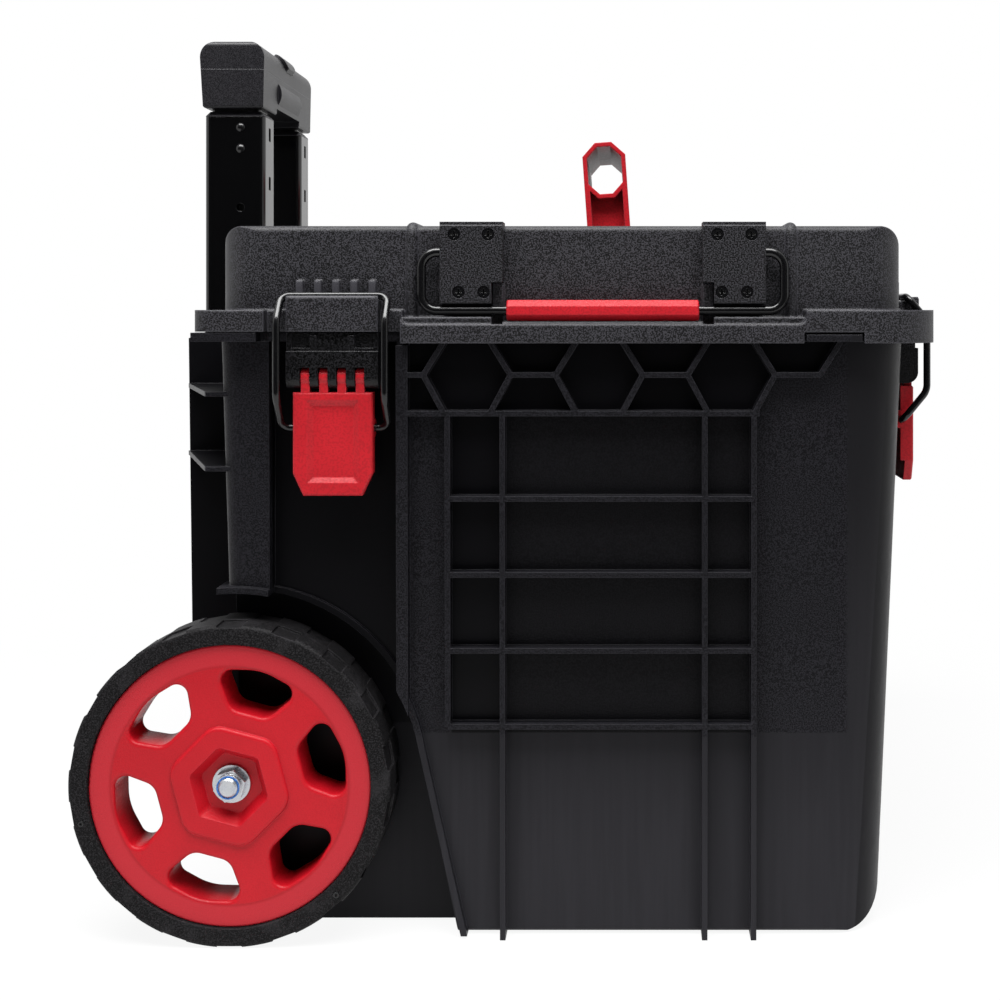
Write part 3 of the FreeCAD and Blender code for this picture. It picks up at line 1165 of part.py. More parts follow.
def outer_tube(side):
    """Fixed tube, with its rivet holes, lock hole and two slots in its front face."""
    wall = TUBE_WALL
    tube = tube_profile(TUBE_DEPTH, TUBE_WIDTH, TUBE_FOOT, TUBE_TOP, TUBE_RADIUS, side)
    bore = tube_profile(TUBE_DEPTH - 2 * wall, TUBE_WIDTH - 2 * wall, TUBE_FOOT - 1, TUBE_TOP + 1,
                        TUBE_RADIUS - wall, side)
    y, x = side * TUBE_CENTRE_Y, TUBE_X + RIVET_FORWARD
    hole = rod(V(x, y, LOCK_HOLE_Z), V(x, y + side * TUBE_WIDTH, LOCK_HOLE_Z), LOCK_HOLE_RADIUS)
    cuts = [bore, hole] + rivet_bars(side, RIVET_RADIUS / 2 + SEAT_CLEARANCE)
    for z in COLLAR_SLOTS_Z:
        cuts.append(box(TUBE_FRONT - 2 * wall, TUBE_FRONT + 1, y - COLLAR_SLOT_HALF, y + COLLAR_SLOT_HALF,
                        z - COLLAR_SLOT_RISE, z + COLLAR_SLOT_RISE))
    return tube.cut(cuts + tube_screw_bars(TUBE_SCREW_RADIUS + SEAT_CLEARANCE))


def rivet_bars(side, radius):
    """Bars along Y through the outer wall of one tube and its collar."""
    x = TUBE_X + RIVET_FORWARD
    inner = side * (TUBE_CENTRE_Y + INNER_WIDTH / 2 + SLIDE_CLEARANCE + COLLAR_RIVET_GAP)
    outer = side * (TUBE_CENTRE_Y + TUBE_WIDTH / 2 + SEAT_CLEARANCE)
    return [rod(V(x, inner, z), V(x, outer, z), radius) for z in RIVETS_Z]


def collar_rivets():
    """Pop rivets that hold the collars in the outer tubes."""
    rivets = []
    x = TUBE_X + RIVET_FORWARD
    for _, side in SIDES:
        face = side * (TUBE_CENTRE_Y + TUBE_WIDTH / 2)
        inner, outer = sorted((face, face + side * RIVET_HEAD_RADIUS))
        for shank, z in zip(rivet_bars(side, RIVET_RADIUS / 2), RIVETS_Z):
            ball = Part.makeSphere(RIVET_HEAD_RADIUS, V(x, face - side * RIVET_HEAD_SINK, z))
            rivets.append(ball.common(box(-FAR, FAR, inner, outer, 0, FAR)).fuse(shank))
    return Part.makeCompound(rivets)


def tube_collar(side):
    """Plastic guide in the top of an outer tube, with a chamfered cap on the tube's end."""
    foot, top = TUBE_TOP - COLLAR_HEIGHT, TUBE_TOP + COLLAR_CAP
    fit = 2 * TUBE_WALL + 2 * SEAT_CLEARANCE
    sleeve = tube_profile(TUBE_DEPTH - fit, TUBE_WIDTH - fit, foot, TUBE_TOP + 1, TUBE_RADIUS - TUBE_WALL,
                          side)
    cap = tube_profile(TUBE_DEPTH, TUBE_WIDTH, TUBE_TOP, top, TUBE_RADIUS, side)
    edges = [edge for edge in cap.Edges if abs(edge.BoundBox.ZMin - top) < 0.01]
    cap = cap.makeChamfer(COLLAR_CHAMFER, edges)
    play = 2 * SLIDE_CLEARANCE
    bore = tube_profile(INNER_DEPTH + play, INNER_WIDTH + play, foot - 1, top + 1, INNER_RADIUS, side)
    return sleeve.fuse(cap).cut([bore] + rivet_bars(side, RIVET_RADIUS / 2 + SEAT_CLEARANCE))


def inner_tube(side):
    """Sliding tube, from its plug up into the grip."""
    top = GRIP_PARTING - TUBE_TOP_GAP
    tube = tube_profile(INNER_DEPTH, INNER_WIDTH, INNER_FOOT, top, INNER_RADIUS, side)
    bore = tube_profile(INNER_DEPTH - 2 * TUBE_WALL, INNER_WIDTH - 2 * TUBE_WALL, INNER_FOOT - 1, top + 1,
                        INNER_RADIUS - TUBE_WALL, side)
    return tube.cut(bore)


def tube_plug(side):
    """Sliding shoe on the foot of an inner tube."""
    gap = 2 * TUBE_WALL + 2 * SLIDE_CLEARANCE
    shoe = tube_profile(TUBE_DEPTH - gap, TUBE_WIDTH - gap, INNER_FOOT - PLUG_HEIGHT / 2, INNER_FOOT,
                        TUBE_RADIUS - TUBE_WALL, side)
    fit = 2 * TUBE_WALL + 2 * SEAT_CLEARANCE
    peg = tube_profile(INNER_DEPTH - fit, INNER_WIDTH - fit, INNER_FOOT - 1, INNER_FOOT + PLUG_HEIGHT,
                       INNER_RADIUS - TUBE_WALL, side)
    return shoe.fuse(peg).cut(lock_rod(side, ROD_RADIUS + SEAT_CLEARANCE))


def lock_rod(side, radius):
    """Rod inside an inner tube that works the lock at its foot."""
    y = side * TUBE_CENTRE_Y
    return rod(V(TUBE_X, y, INNER_FOOT), V(TUBE_X, y, GRIP_PARTING + ROD_INTO_GRIP), radius)


def grip_form(bottom, top):
    """Outside of the grip between two levels."""
    back = TUBE_BACK - GRIP_BACK_PROUD
    small, edge = GRIP_SMALL_RADIUS, GRIP_EDGE_RADIUS
    side = [(back + GRIP_FOOT_SETBACK, GRIP_BOTTOM), (TUBE_FRONT, GRIP_BOTTOM),
            (TUBE_FRONT + GRIP_TOP_PROUD, GRIP_TOP), (back, GRIP_TOP)]
    form = slab(side, "y", -GRIP_HALF, GRIP_HALF, [small, small, edge, edge])
    half = GRIP_HALF
    front = [(-half, GRIP_BOTTOM), (half, GRIP_BOTTOM), (half, GRIP_TOP), (-half, GRIP_TOP)]
    form = form.common(slab(front, "x", -FAR, FAR, [small, small, GRIP_END_RADIUS, GRIP_END_RADIUS]))
    middle = GRIP_HALF - GRIP_BLOCK_LENGTH
    form = form.cut(box(-FAR, FAR, -middle, middle, GRIP_BOTTOM - 1, GRIP_MIDDLE_BOTTOM))
    return form.common(box(-FAR, FAR, -FAR, FAR, bottom, top))


def grip_lower():
    """Lower half of the grip, with sockets for the tubes and a bulge on its front."""
    level = (GRIP_MIDDLE_BOTTOM + GRIP_PARTING) / 2
    x = TUBE_FRONT + BULGE_PROUD - BULGE_RADIUS
    bulge = rod(V(x, -BULGE_HALF, level), V(x, BULGE_HALF, level), BULGE_RADIUS)
    bulge = bulge.common(box(-FAR, FAR, -FAR, FAR, GRIP_MIDDLE_BOTTOM, GRIP_PARTING))
    form = grip_form(GRIP_BOTTOM - 1, GRIP_PARTING).fuse(bulge)
    fit = 2 * SEAT_CLEARANCE
    cuts = [button_pocket()]
    for _, side in SIDES:
        cuts.append(tube_profile(INNER_DEPTH + fit, INNER_WIDTH + fit, GRIP_BOTTOM - 2, GRIP_PARTING + 1,
                                 INNER_RADIUS, side))
    return form.cut(cuts)


def grip_upper():
    """Upper half of the grip, with the button's pocket and the ends of the lock rods."""
    rods = [lock_rod(side, ROD_RADIUS + SEAT_CLEARANCE) for _, side in SIDES]
    return grip_form(GRIP_PARTING, GRIP_TOP + 1).cut([button_pocket()] + rods)


def button_frame():
    """Origin on the grip's rounded front top edge and the direction out of it."""
    centre = V(TUBE_FRONT + GRIP_TOP_PROUD - GRIP_EDGE_RADIUS, 0, GRIP_TOP - GRIP_EDGE_RADIUS)
    out = V(1, 0, 1).normalize()
    return centre.add(out * GRIP_EDGE_RADIUS), out


def stadium(length, width, low, high):
    """Long rounded bar standing on the button's axis between two depths."""
    origin, out = button_frame()
    half, radius = length / 2, width / 2 - 0.01
    corners = [V(x, y, low) for x, y in plan_points(-width / 2, width / 2, half)]
    bar = Part.Face(outline(corners, [radius] * 4)).extrude(V(0, 0, high - low))
    bar.rotate(V(0, 0, 0), V(0, 1, 0), 45)
    bar.translate(origin)
    return bar


def button_pocket():
    deep = BUTTON_DEPTH + BUTTON_SPRING_LENGTH
    gap = 2 * BUTTON_CLEARANCE
    return stadium(BUTTON_LENGTH + gap, BUTTON_WIDTH + gap, -deep, FAR / 10)


def release_button():
    """Oval push button, its face curved like the grip's front top edge."""
    button = stadium(BUTTON_LENGTH, BUTTON_WIDTH, -BUTTON_DEPTH, GRIP_EDGE_RADIUS)
    origin, out = button_frame()
    centre = origin.sub(out * GRIP_EDGE_RADIUS)
    face = GRIP_EDGE_RADIUS + BUTTON_PROUD
    round_form = rod(V(centre.x, -BUTTON_LENGTH, centre.z), V(centre.x, BUTTON_LENGTH, centre.z), face)
    return button.common(round_form)


def button_spring():
    """Coil spring under the button, as a closed sleeve of its outer size."""
    origin, out = button_frame()
    deep = BUTTON_DEPTH + BUTTON_SPRING_LENGTH
    start = origin.sub(out * deep)
    end = origin.sub(out * BUTTON_DEPTH)
    sleeve = rod(start, end, BUTTON_SPRING_RADIUS)
    return sleeve.cut(rod(start.sub(out), end.add(out), BUTTON_SPRING_RADIUS - SPRING_WALL))


def tube_screw_bars(radius, start=None):
    """Bars along X through the housing's back into each outer tube's back wall."""
    start = TUBE_BACK - SLEEVE_WALL - 1 if start is None else start
    end = TUBE_BACK + TUBE_WALL
    bars = []
    for _, side in SIDES:
        y = side * TUBE_CENTRE_Y
        bars += [rod(V(start, y, z), V(end, y, z), radius) for z in TUBE_SCREWS_Z]
    return bars


def tube_screws():
    """Screws that hold the outer tubes in the housing."""
    face = TUBE_BACK - SLEEVE_WALL
    screws = []
    for shank in tube_screw_bars(TUBE_SCREW_RADIUS, face):
        middle = shank.CenterOfMass
        seat = V(face, middle.y, middle.z)
        head = rod(seat.sub(V(TUBE_SCREW_HEAD_HEIGHT, 0, 0)), seat, SCREW_HEAD_RADIUS)
        screws.append(head.fuse(shank))
    return Part.makeCompound(screws)


# ---------------------------------------------------------------- wheels, left one
def hub_levels():
    """Distances along -Y: hub's face, boss's face and socket's floor."""
    face = WHEEL_OUTER_Y - HUB_RECESS
    boss = face + BOSS_PROUD
    return face, boss, boss - SOCKET_DEPTH


def axle_levels():
    """Distances along -Y: washer's two faces, nut's outer face and the axle's end."""
    washer = hub_levels()[-1] + HUB_END_PLAY
    nut = washer + WASHER_THICKNESS
    return washer, nut, nut + NUT_HEIGHT, nut + NUT_HEIGHT + THREAD_PROUD


def tyre():
    """Flat rubber tyre with staggered tread grooves on its two shoulders."""
    centre = V(WHEEL_X, 0, WHEEL_RADIUS)
    inner, outer = HUB_RADIUS + SEAT_CLEARANCE, WHEEL_RADIUS
    corners = [V(0, -WHEEL_OUTER_Y, inner), V(0, -WHEEL_OUTER_Y, outer), V(0, -WHEEL_INNER_Y, outer),
               V(0, -WHEEL_INNER_Y, inner)]
    bead, shoulder = TYRE_BEAD_RADIUS, TYRE_SHOULDER_RADIUS
    face = Part.Face(outline(corners, [bead, shoulder, shoulder, bead]))
    ring = face.revolve(V(0, 0, 0), V(0, 1, 0), 360)
    ring.translate(centre)
    cuts = []
    middle = (WHEEL_INNER_Y + WHEEL_OUTER_Y) / 2
    step = 360.0 / TREAD_GROOVES
    half = TREAD_GROOVE_WIDTH / 2
    shoulders = [(-WHEEL_OUTER_Y - 1, -middle - TREAD_BAND_HALF),
                 (-middle + TREAD_BAND_HALF, -WHEEL_INNER_Y + 1)]
    for number in range(2 * TREAD_GROOVES):
        a, b = shoulders[number % 2]
        groove = box(-half, half, a, b, outer - TREAD_DEPTH, outer + TREAD_DEPTH)
        groove.rotate(V(0, 0, 0), V(0, 1, 0), step / 2 * number)
        groove.translate(centre)
        cuts.append(groove)
    return ring.cut(cuts)


def polar(radius, degrees):
    return (radius * math.cos(math.radians(degrees)), radius * math.sin(math.radians(degrees)))


def wheel_window(number, grow, low, high):
    """One rounded window of the hub between two distances along -Y, its walls moved out."""
    middle = WINDOW_TURN + 360.0 / WINDOW_COUNT * number
    inner, outer = WINDOW_INNER_RADIUS - grow, RIM_BAND_RADIUS + grow
    wide = WINDOW_ANGLE + math.degrees(grow / outer)
    narrow = WINDOW_ANGLE * WINDOW_TAPER + math.degrees(grow / inner)
    crown = outer / math.cos(math.radians(wide / 2))
    corners = [polar(outer, middle - wide), polar(crown, middle), polar(outer, middle + wide),
               polar(inner, middle + narrow), polar(inner, middle - narrow)]
    tight, loose = WINDOW_CORNER_RADIUS + grow, 1.5 * WINDOW_CORNER_RADIUS + grow
    window = slab(corners, "y", -high, -low, [tight, outer / 2, tight, loose, loose])
    window.translate(V(WHEEL_X, 0, WHEEL_RADIUS))
    return window


def wheel_disc(low, high, radius):
    """Round bar on the wheel's axis, left side, between two distances from the middle."""
    return rod(V(WHEEL_X, -high, WHEEL_RADIUS), V(WHEEL_X, -low, WHEEL_RADIUS), radius)


def wheel_hexagon(radius, turn, low, high, corner_radius):
    corners = regular(6, radius, turn, (WHEEL_X, WHEEL_RADIUS))
    return slab(corners, "y", -high, -low, corner_radius)


def hub_face(low, high):
    """Flat face of the hub with its windows, their front edges rounded."""
    windows = [wheel_window(number, 0, low - 1, high + 1) for number in range(WINDOW_COUNT)]
    plate = wheel_disc(low, high, HUB_RADIUS).cut(windows)
    front = [edge for edge in plate.Edges if abs(edge.BoundBox.YMax + high) < 0.01]
    outer = [edge for edge in front if edge.BoundBox.XLength > 2 * HUB_RADIUS - 1]
    plate = plate.makeFillet(HUB_EDGE_RADIUS, outer)
    flat = [edge for edge in plate.Edges if abs(edge.BoundBox.YMax + high) < 0.01]
    around = [edge for edge in flat if edge.BoundBox.XLength < HUB_RADIUS]
    return plate.makeFillet(WINDOW_EDGE_RADIUS, around)


def hub():
    """Red hub: a rim band, a thin face with six windows in collars, and a hexagonal boss."""
    face, boss, floor = hub_levels()
    inner = WHEEL_INNER_Y + HUB_RECESS
    back = face - WEB_FACE_THICKNESS
    band = wheel_ring(inner, back, HUB_RADIUS, HUB_RADIUS - RIM_BAND_WALL)
    boss_form = wheel_hexagon(BOSS_RADIUS, BOSS_TURN, floor - WEB_FACE_THICKNESS, boss, BOSS_CORNER_RADIUS)
    face_edges = [edge for edge in boss_form.Edges if abs(edge.BoundBox.YMax + boss) < 0.01]
    boss_form = boss_form.makeFillet(BOSS_EDGE_RADIUS, face_edges)
    sleeve = wheel_disc(inner, floor, AXLE_RADIUS + BUSHING_WALL + SLEEVE_BOSS_WALL)
    windows = range(WINDOW_COUNT)
    collars = [wheel_window(number, WINDOW_WALL, face - WEB_THICKNESS, back) for number in windows]
    collars = joined(collars).cut([wheel_window(number, 0, 0, back + 1) for number in windows])
    form = joined([hub_face(back, face), band, boss_form, sleeve, collars])
    bore = wheel_disc(0, FAR, AXLE_RADIUS + BUSHING_WALL + SEAT_CLEARANCE)
    return form.cut([hub_socket(floor, boss), bore])


def hub_socket(floor, boss):
    """Hexagonal socket of the boss, wider at its mouth."""
    rings = []
    for radius, level in ((SOCKET_FLOOR_RADIUS, floor), (SOCKET_RADIUS, boss + 0.01)):
        corners = [V(x, -level, z) for x, z in regular(6, radius, BOSS_TURN, (WHEEL_X, WHEEL_RADIUS))]
        rings.append(outline(corners, [SOCKET_CORNER_RADIUS] * 6))
    return Part.makeLoft(rings, True, True)


def wheel_ring(low, high, radius, hole):
    return wheel_disc(low, high, radius).cut(wheel_disc(low - 1, high + 1, hole))


def hub_bushing():
    """Sleeve in the hub that turns on the axle."""
    low, high = WHEEL_INNER_Y + HUB_RECESS, hub_levels()[-1]
    return wheel_ring(low, high, AXLE_RADIUS + BUSHING_WALL, AXLE_RADIUS + RUNNING_CLEARANCE)


def axle_spacer():
    """Ring between the well's wall and the hub."""
    high = WHEEL_INNER_Y + HUB_RECESS - HUB_END_PLAY
    return wheel_ring(WELL_Y, high, AXLE_RADIUS + SPACER_WALL, AXLE_RADIUS + SEAT_CLEARANCE)


def axle_washer():
    low, high, _, _ = axle_levels()
    return wheel_ring(low, high, WASHER_RADIUS, AXLE_RADIUS + SEAT_CLEARANCE)


def axle_nut():
    """Locknut with a round collar."""
    _, low, high, _ = axle_levels()
    step = high - NUT_COLLAR_HEIGHT
    nut = wheel_hexagon(NUT_ACROSS_FLATS / math.sqrt(3), NUT_TURN, low, step, 0)
    collar = wheel_disc(step, high, NUT_ACROSS_FLATS / 2 - NUT_COLLAR_INSET)
    return nut.fuse(collar).cut(axle_bar(AXLE_RADIUS + SEAT_CLEARANCE, FAR))


def axle():
    bar = axle_bar(AXLE_RADIUS, axle_levels()[-1])
    edges = [edge for edge in bar.Edges if edge.BoundBox.YLength < 0.01]
    return bar.makeChamfer(1.0, edges)


# ---------------------------------------------------------------- all pieces
def pieces():
    nodes = {
        "box_body": box_body(),
        "lid": lid(),
        "lid_gasket": lid_gasket(),
        "axle": axle(),
        "axle_washers": Part.makeCompound(both_sides(axle_washer())),
        "axle_spacers": Part.makeCompound(both_sides(axle_spacer())),
        "axle_nuts": Part.makeCompound(both_sides(axle_nut())),
        "latch_pins": Part.makeCompound(at_latches(latch_pin())),
        "latch_screws": Part.makeCompound(at_latches(latch_screws())),
        "plate_screws": plate_screws(),
        "top_handle": top_handle(),
        "top_handle_pins": top_pins(),
        "collar_rivets": collar_rivets(),
        "tube_screws": tube_screws(),
        "lock_rods": Part.makeCompound([lock_rod(side, ROD_RADIUS) for _, side in SIDES]),
        "grip_lower": grip_lower(),
        "grip_upper": grip_upper(),
        "release_button": release_button(),
        "button_spring": button_spring(),
    }
    for name, spot, turn in LATCH_SPOTS:
        nodes["latch_base_" + name] = placed(latch_base(), spot, turn)
        nodes["latch_lever_" + name] = placed(latch_lever(), spot, turn)
        nodes["latch_bail_" + name] = placed(latch_bail(), spot, turn)
    left_pieces = {"side_handle_wire_": side_wire(), "side_handle_grip_": side_grip(), "tyre_": tyre(),
                   "hub_": hub(), "hub_bushing_": hub_bushing()}
    for name, side in SIDES:
        nodes["bail_plates_" + name] = bail_plates(side)
        nodes["outer_tube_" + name] = outer_tube(side)
        nodes["tube_collar_" + name] = tube_collar(side)
        nodes["inner_tube_" + name] = inner_tube(side)
        nodes["tube_plug_" + name] = tube_plug(side)
        for start, shape in left_pieces.items():
            nodes[start + name] = shape if side < 0 else mirrored(shape)
    return nodes


def main():
    os.makedirs("parts", exist_ok=True)
    for name, shape in pieces().items():
        good = shape.isValid() and all(solid.isClosed() for solid in shape.Solids)
        print(f"{name:24s} solids {len(shape.Solids)} valid {good} volume {shape.Volume / 1000:9.2f} cm3")
        shape.exportStep("parts/" + name + ".step")


main()
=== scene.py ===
import math
from typing import NamedTuple

import bpy
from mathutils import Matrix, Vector


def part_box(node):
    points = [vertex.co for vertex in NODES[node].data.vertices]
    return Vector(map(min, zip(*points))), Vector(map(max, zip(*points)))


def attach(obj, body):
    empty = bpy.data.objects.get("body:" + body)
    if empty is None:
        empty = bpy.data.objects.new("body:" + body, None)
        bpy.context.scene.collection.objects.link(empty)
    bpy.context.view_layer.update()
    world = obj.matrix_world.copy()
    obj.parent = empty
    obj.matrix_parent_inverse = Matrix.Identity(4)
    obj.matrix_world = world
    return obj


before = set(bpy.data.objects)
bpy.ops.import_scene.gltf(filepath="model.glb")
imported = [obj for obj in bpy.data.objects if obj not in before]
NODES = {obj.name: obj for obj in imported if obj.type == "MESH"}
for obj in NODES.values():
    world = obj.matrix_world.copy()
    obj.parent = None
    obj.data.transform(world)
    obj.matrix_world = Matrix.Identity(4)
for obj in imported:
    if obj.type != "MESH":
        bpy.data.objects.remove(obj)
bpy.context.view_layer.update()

bl_info = {
    "name": "Jobsite Storage Box",
    "version": (1, 0, 0),
    "blender": (4, 5, 0),
    "location": "3D View > Sidebar > Storage Box",
    "description": "Finishes a wheeled jobsite storage box and sets it on a plain stage",
    "category": "Object",
}

SIDES = (("left", -1), ("right", 1))
SIDE_NAMES = tuple(name for name, _ in SIDES)
LATCHES = ("left", "right", "front_left", "front_right")
MM = 0.001
QUARTER_TURN = math.radians(90)
WHITE = (1.0, 1.0, 1.0, 1.0)


# ---------------------------------------------------------------- sizes and colours
def colour(name, description, default):
    return bpy.props.FloatVectorProperty(name=name, description=description, default=default,
                                         subtype="COLOR", size=3, min=0, max=1)


def coordinate(name, description, default):
    """A place along an axis, on either side of the middle."""
    return bpy.props.FloatProperty(name=name, description=description, default=default,
                                   subtype="DISTANCE", unit="LENGTH", precision=5)


def length(name, description, default):
    return bpy.props.FloatProperty(name=name, description=description, default=default,
                                   subtype="DISTANCE", unit="LENGTH", min=0, precision=5)


def share(name, description, default):
    return bpy.props.FloatProperty(name=name, description=description, default=default, subtype="FACTOR",
                                   min=0, max=1)


class BoxColours(bpy.types.PropertyGroup):
    """Colours of the box's materials."""
    moulding: colour("Moulded black", "Plastic of the tub, and darker of the latch bases",
                     (0.0062, 0.0060, 0.0074))
    # Darkest black: painted as shade on the tub's deep recesses and on the grainless cell row under the lid's
    # ledge, and laid on the plain rib column; also the real colour of the tub's dark grain dots and of the
    # tyres' pips.
    recess: colour("Recess black", "Plain plastic in the tub's recesses, and of the tyres' pips",
                   (0.0018, 0.0017, 0.0024))
    # Made paler, this also paints the tub's edges as highlights; the satin walls are painted paler downwards
    # as light from the floor.
    satin: colour("Satin black", "Smooth plastic of the tub's lower and front walls",
                  (0.0165, 0.0160, 0.0188))
    lid: colour("Lid black", "Grained plastic of the lid and of the side handles' plates",
                (0.0135, 0.0131, 0.0156))
    smooth: colour("Smooth black", "Plastic of the tow grip, its button, the tubes' collars and plugs",
                   (0.0088, 0.0084, 0.0104))
    red: colour("Red", "Plastic of the levers, hubs and grips", (0.395, 0.0090, 0.0155))
    tube: colour("Tube black", "Coat of the tow handle's tubes", (0.0010, 0.0010, 0.0012))
    wire: colour("Wire black", "Coat of the bent wires and the screws", (0.0022, 0.0022, 0.0026))
    rubber: colour("Rubber", "Tyres and lid seal", (0.0068, 0.0064, 0.0070))
    zinc: colour("Zinc", "Plating of the axle, nuts, washers, pins and rods", (0.62, 0.63, 0.65))
    nylon: colour("Nylon ring", "Locking ring of the axle's nuts", (0.035, 0.12, 0.36))
    grey: colour("Grey plastic", "Bushings and spacers", (0.2, 0.2, 0.21))


class BoxSizes(bpy.types.PropertyGroup):
    """Sizes of the surface detail, and where it and the painted light and shade start and end on the box."""
    grain: length("Grain", "Width of one dot of the moulded grain", 0.9 * MM)
    grain_depth: length("Grain depth", "Height of the moulded grain", 0.16 * MM)
    red_grain: length("Red grain", "Width of one dot of the grain on the levers and grips", 1.4 * MM)
    edge: length("Edge rounding", "Rounding of the moulded edges", 0.9 * MM)
    smooth_top: length("Smooth panel top", "Level under which the tub's walls are smooth", 130 * MM)
    smooth_front: length("Smooth panel side", "Place along X past which the tub's walls are smooth", 213 * MM)
    # The cell row under the lid's ledge is grainless and painted dark as shade.
    row_foot: length("Cell row foot", "Level over which the tub's walls have no grain", 337 * MM)
    row_middle: length("Cell row middle", "Level of the cells' widest place", 359.8 * MM)
    row_front: length("Cell row front", "Front end of the cells at their foot", 152.6 * MM)
    row_step: length("Cell row step", "How much further forward the upper cells end", 28.6 * MM)
    row_slant: share("Cell row slant", "Run of the cells' slanted ribs over their rise", 0.55)
    row_back: coordinate("Cell row back", "Back end of the cells", -70 * MM)
    # The wall between the ribs, up to this place, is painted darker as shade.
    shaded_field_front: length("Rib field front", "Front end of the field between the ribs", 153 * MM)
    column_back: coordinate("Plain column's back", "Where the plain rib column starts", -41 * MM)
    column_front: coordinate("Plain column's front", "Where the plain rib column ends", -8 * MM)
    wall_side: length("Wall side", "Distance from the middle outside which the ribs stand", 249 * MM)
    # Inside this distance the tub's deep recesses are painted dark as shade.
    recess_side: length("Recess side", "Distance from the middle inside which the tub has no grain", 238 * MM)
    # The lid's hook ribs, placed by these sizes, are painted pale as a highlight.
    hook_place: length("Hook place", "Distance of a side latch behind the middle", 114 * MM)
    hook_row: length("Hook row", "Distance of a front latch from the middle", 150 * MM)
    hook_half: length("Hook width", "Half the width of a row of hook ribs", 27 * MM)
    hook_foot: length("Hook foot", "Level of the hook ribs' foot", 408 * MM)
    hook_side: length("Hook side", "Distance from the middle past which the side hook ribs stand", 246.5 * MM)
    hook_front: length("Hook front", "Place along X past which the front hook ribs stand", 252.5 * MM)
    rim_band: length("Rim band", "Radius past which the hub's rim starts", 74.5 * MM)
    # A thin shadow is painted along the rim's inner side, where it steps from the web.
    rim_step_shadow: length("Rim groove", "Width of the dark groove at the rim's inner side", 2.5 * MM)
    nylon_hole: length("Nylon ring hole", "Radius of the hole in the nut's nylon ring", 6.2 * MM)
    nylon_radius: length("Nylon ring", "Radius of the nut's nylon ring", 7.3 * MM)
    nylon_height: length("Nylon ring height", "How far the ring stands out of the nut", 0.5 * MM)
    pip_radius: length("Pip", "Radius of a pip on the tyre", 1.9 * MM)
    pip_height: length("Pip height", "How far a pip stands out of the tyre", 0.5 * MM)
    pip_place: length("Pip place", "From the wheel's axis to a pip", 95.5 * MM)
    pip_turns: bpy.props.FloatVectorProperty(name="Pip angles", size=2, unit="ROTATION",
                                             description="Places of the pips round the tyre",
                                             default=(math.radians(-45), math.radians(-166)))


class StageSettings(bpy.types.PropertyGroup):
    """Camera, floor, dark card and fill light."""
    focal: bpy.props.FloatProperty(name="Focal length", description="Lens, on a 36 mm sensor", default=54.76,
                                   subtype="DISTANCE_CAMERA", min=10)
    eye: bpy.props.FloatVectorProperty(name="Eye", description="Place of the camera", size=3,
                                       subtype="TRANSLATION", unit="LENGTH", default=(0.0725, -1.220, 0.401))
    horizon: bpy.props.FloatVectorProperty(name="Vanishing point", size=2, default=(0.628, 0.690),
                                           description="Place in the frame, as shares from its lower left "
                                           "corner, where lines along Y meet")
    floor: length("Floor", "Width of the floor", 7.0)
    card: length("Card", "Width of the dark card", 4.4)
    card_place: length("Card place", "Distance of the dark card from the middle", 1.1)
    shadow: length("Shadow", "Distance from the middle past which the floor shows no shadow", 0.9)
    floor_white: share("Floor white", "How white the floor beside the box is, shadow or not", 0.91)
    fill: bpy.props.FloatProperty(name="Fill", description="Strength of the light from all sides",
                                  default=0.07, min=0)


# ---------------------------------------------------------------- shader maths
BEVEL_SAMPLES = 6
EDGE_TURN = (0.01, 0.2)          # where the painted edge highlight starts and is full, as 1 - cosine of the normal's turn
BLOOM = 90 * MM                  # width of the bloom's patches on black plastic
RED_BLOOM = 50 * MM
BLOOM_EDGE = (0.35, 0.7)         # where the bloom passes from weak to strong
CLOUD = 500 * MM                 # width of the clouds on the floor and the card


class Strand:
    """An output socket; sums and products of strands add Math nodes."""

    def __init__(self, graph, socket):
        self.graph = graph
        self.socket = socket

    def __add__(self, other):
        return self.graph.maths("ADD", self, other)

    def __radd__(self, other):
        return self.graph.maths("ADD", other, self)

    def __sub__(self, other):
        return self.graph.maths("SUBTRACT", self, other)

    def __rsub__(self, other):
        return self.graph.maths("SUBTRACT", other, self)

    def __mul__(self, other):
        return self.graph.maths("MULTIPLY", self, other)

    def __rmul__(self, other):
        return self.graph.maths("MULTIPLY", other, self)

    def __abs__(self):
        return self.graph.maths("ABSOLUTE", self)

    def either(self, other):
        """The larger of two masks at each point."""
        return self.graph.maths("MAXIMUM", self, other)

    def rise(self, low, high):
        """0 below low, 1 above high, and a smooth rise between them."""
        inputs = {"Value": self, "From Min": low, "From Max": high}
        return self.graph.node("ShaderNodeMapRange", {"interpolation_type": "SMOOTHSTEP"}, inputs)

    def past(self, limit, border):
        """0 up to the limit, 1 from a border's width past it."""
        return self.rise(limit, limit + border)

    def over(self, limit, border):
        """0 from a border's width short of the limit, 1 from a border's width past it."""
        return self.rise(limit - border, limit + border)

    def before(self, limit, border):
        """1 up to a border's width short of the limit, 0 from the limit on."""
        return 1 - self.rise(limit - border, limit)

    def swing(self, amount):
        """A noise as a swing of that width, about zero."""
        return (self - 0.5) * amount


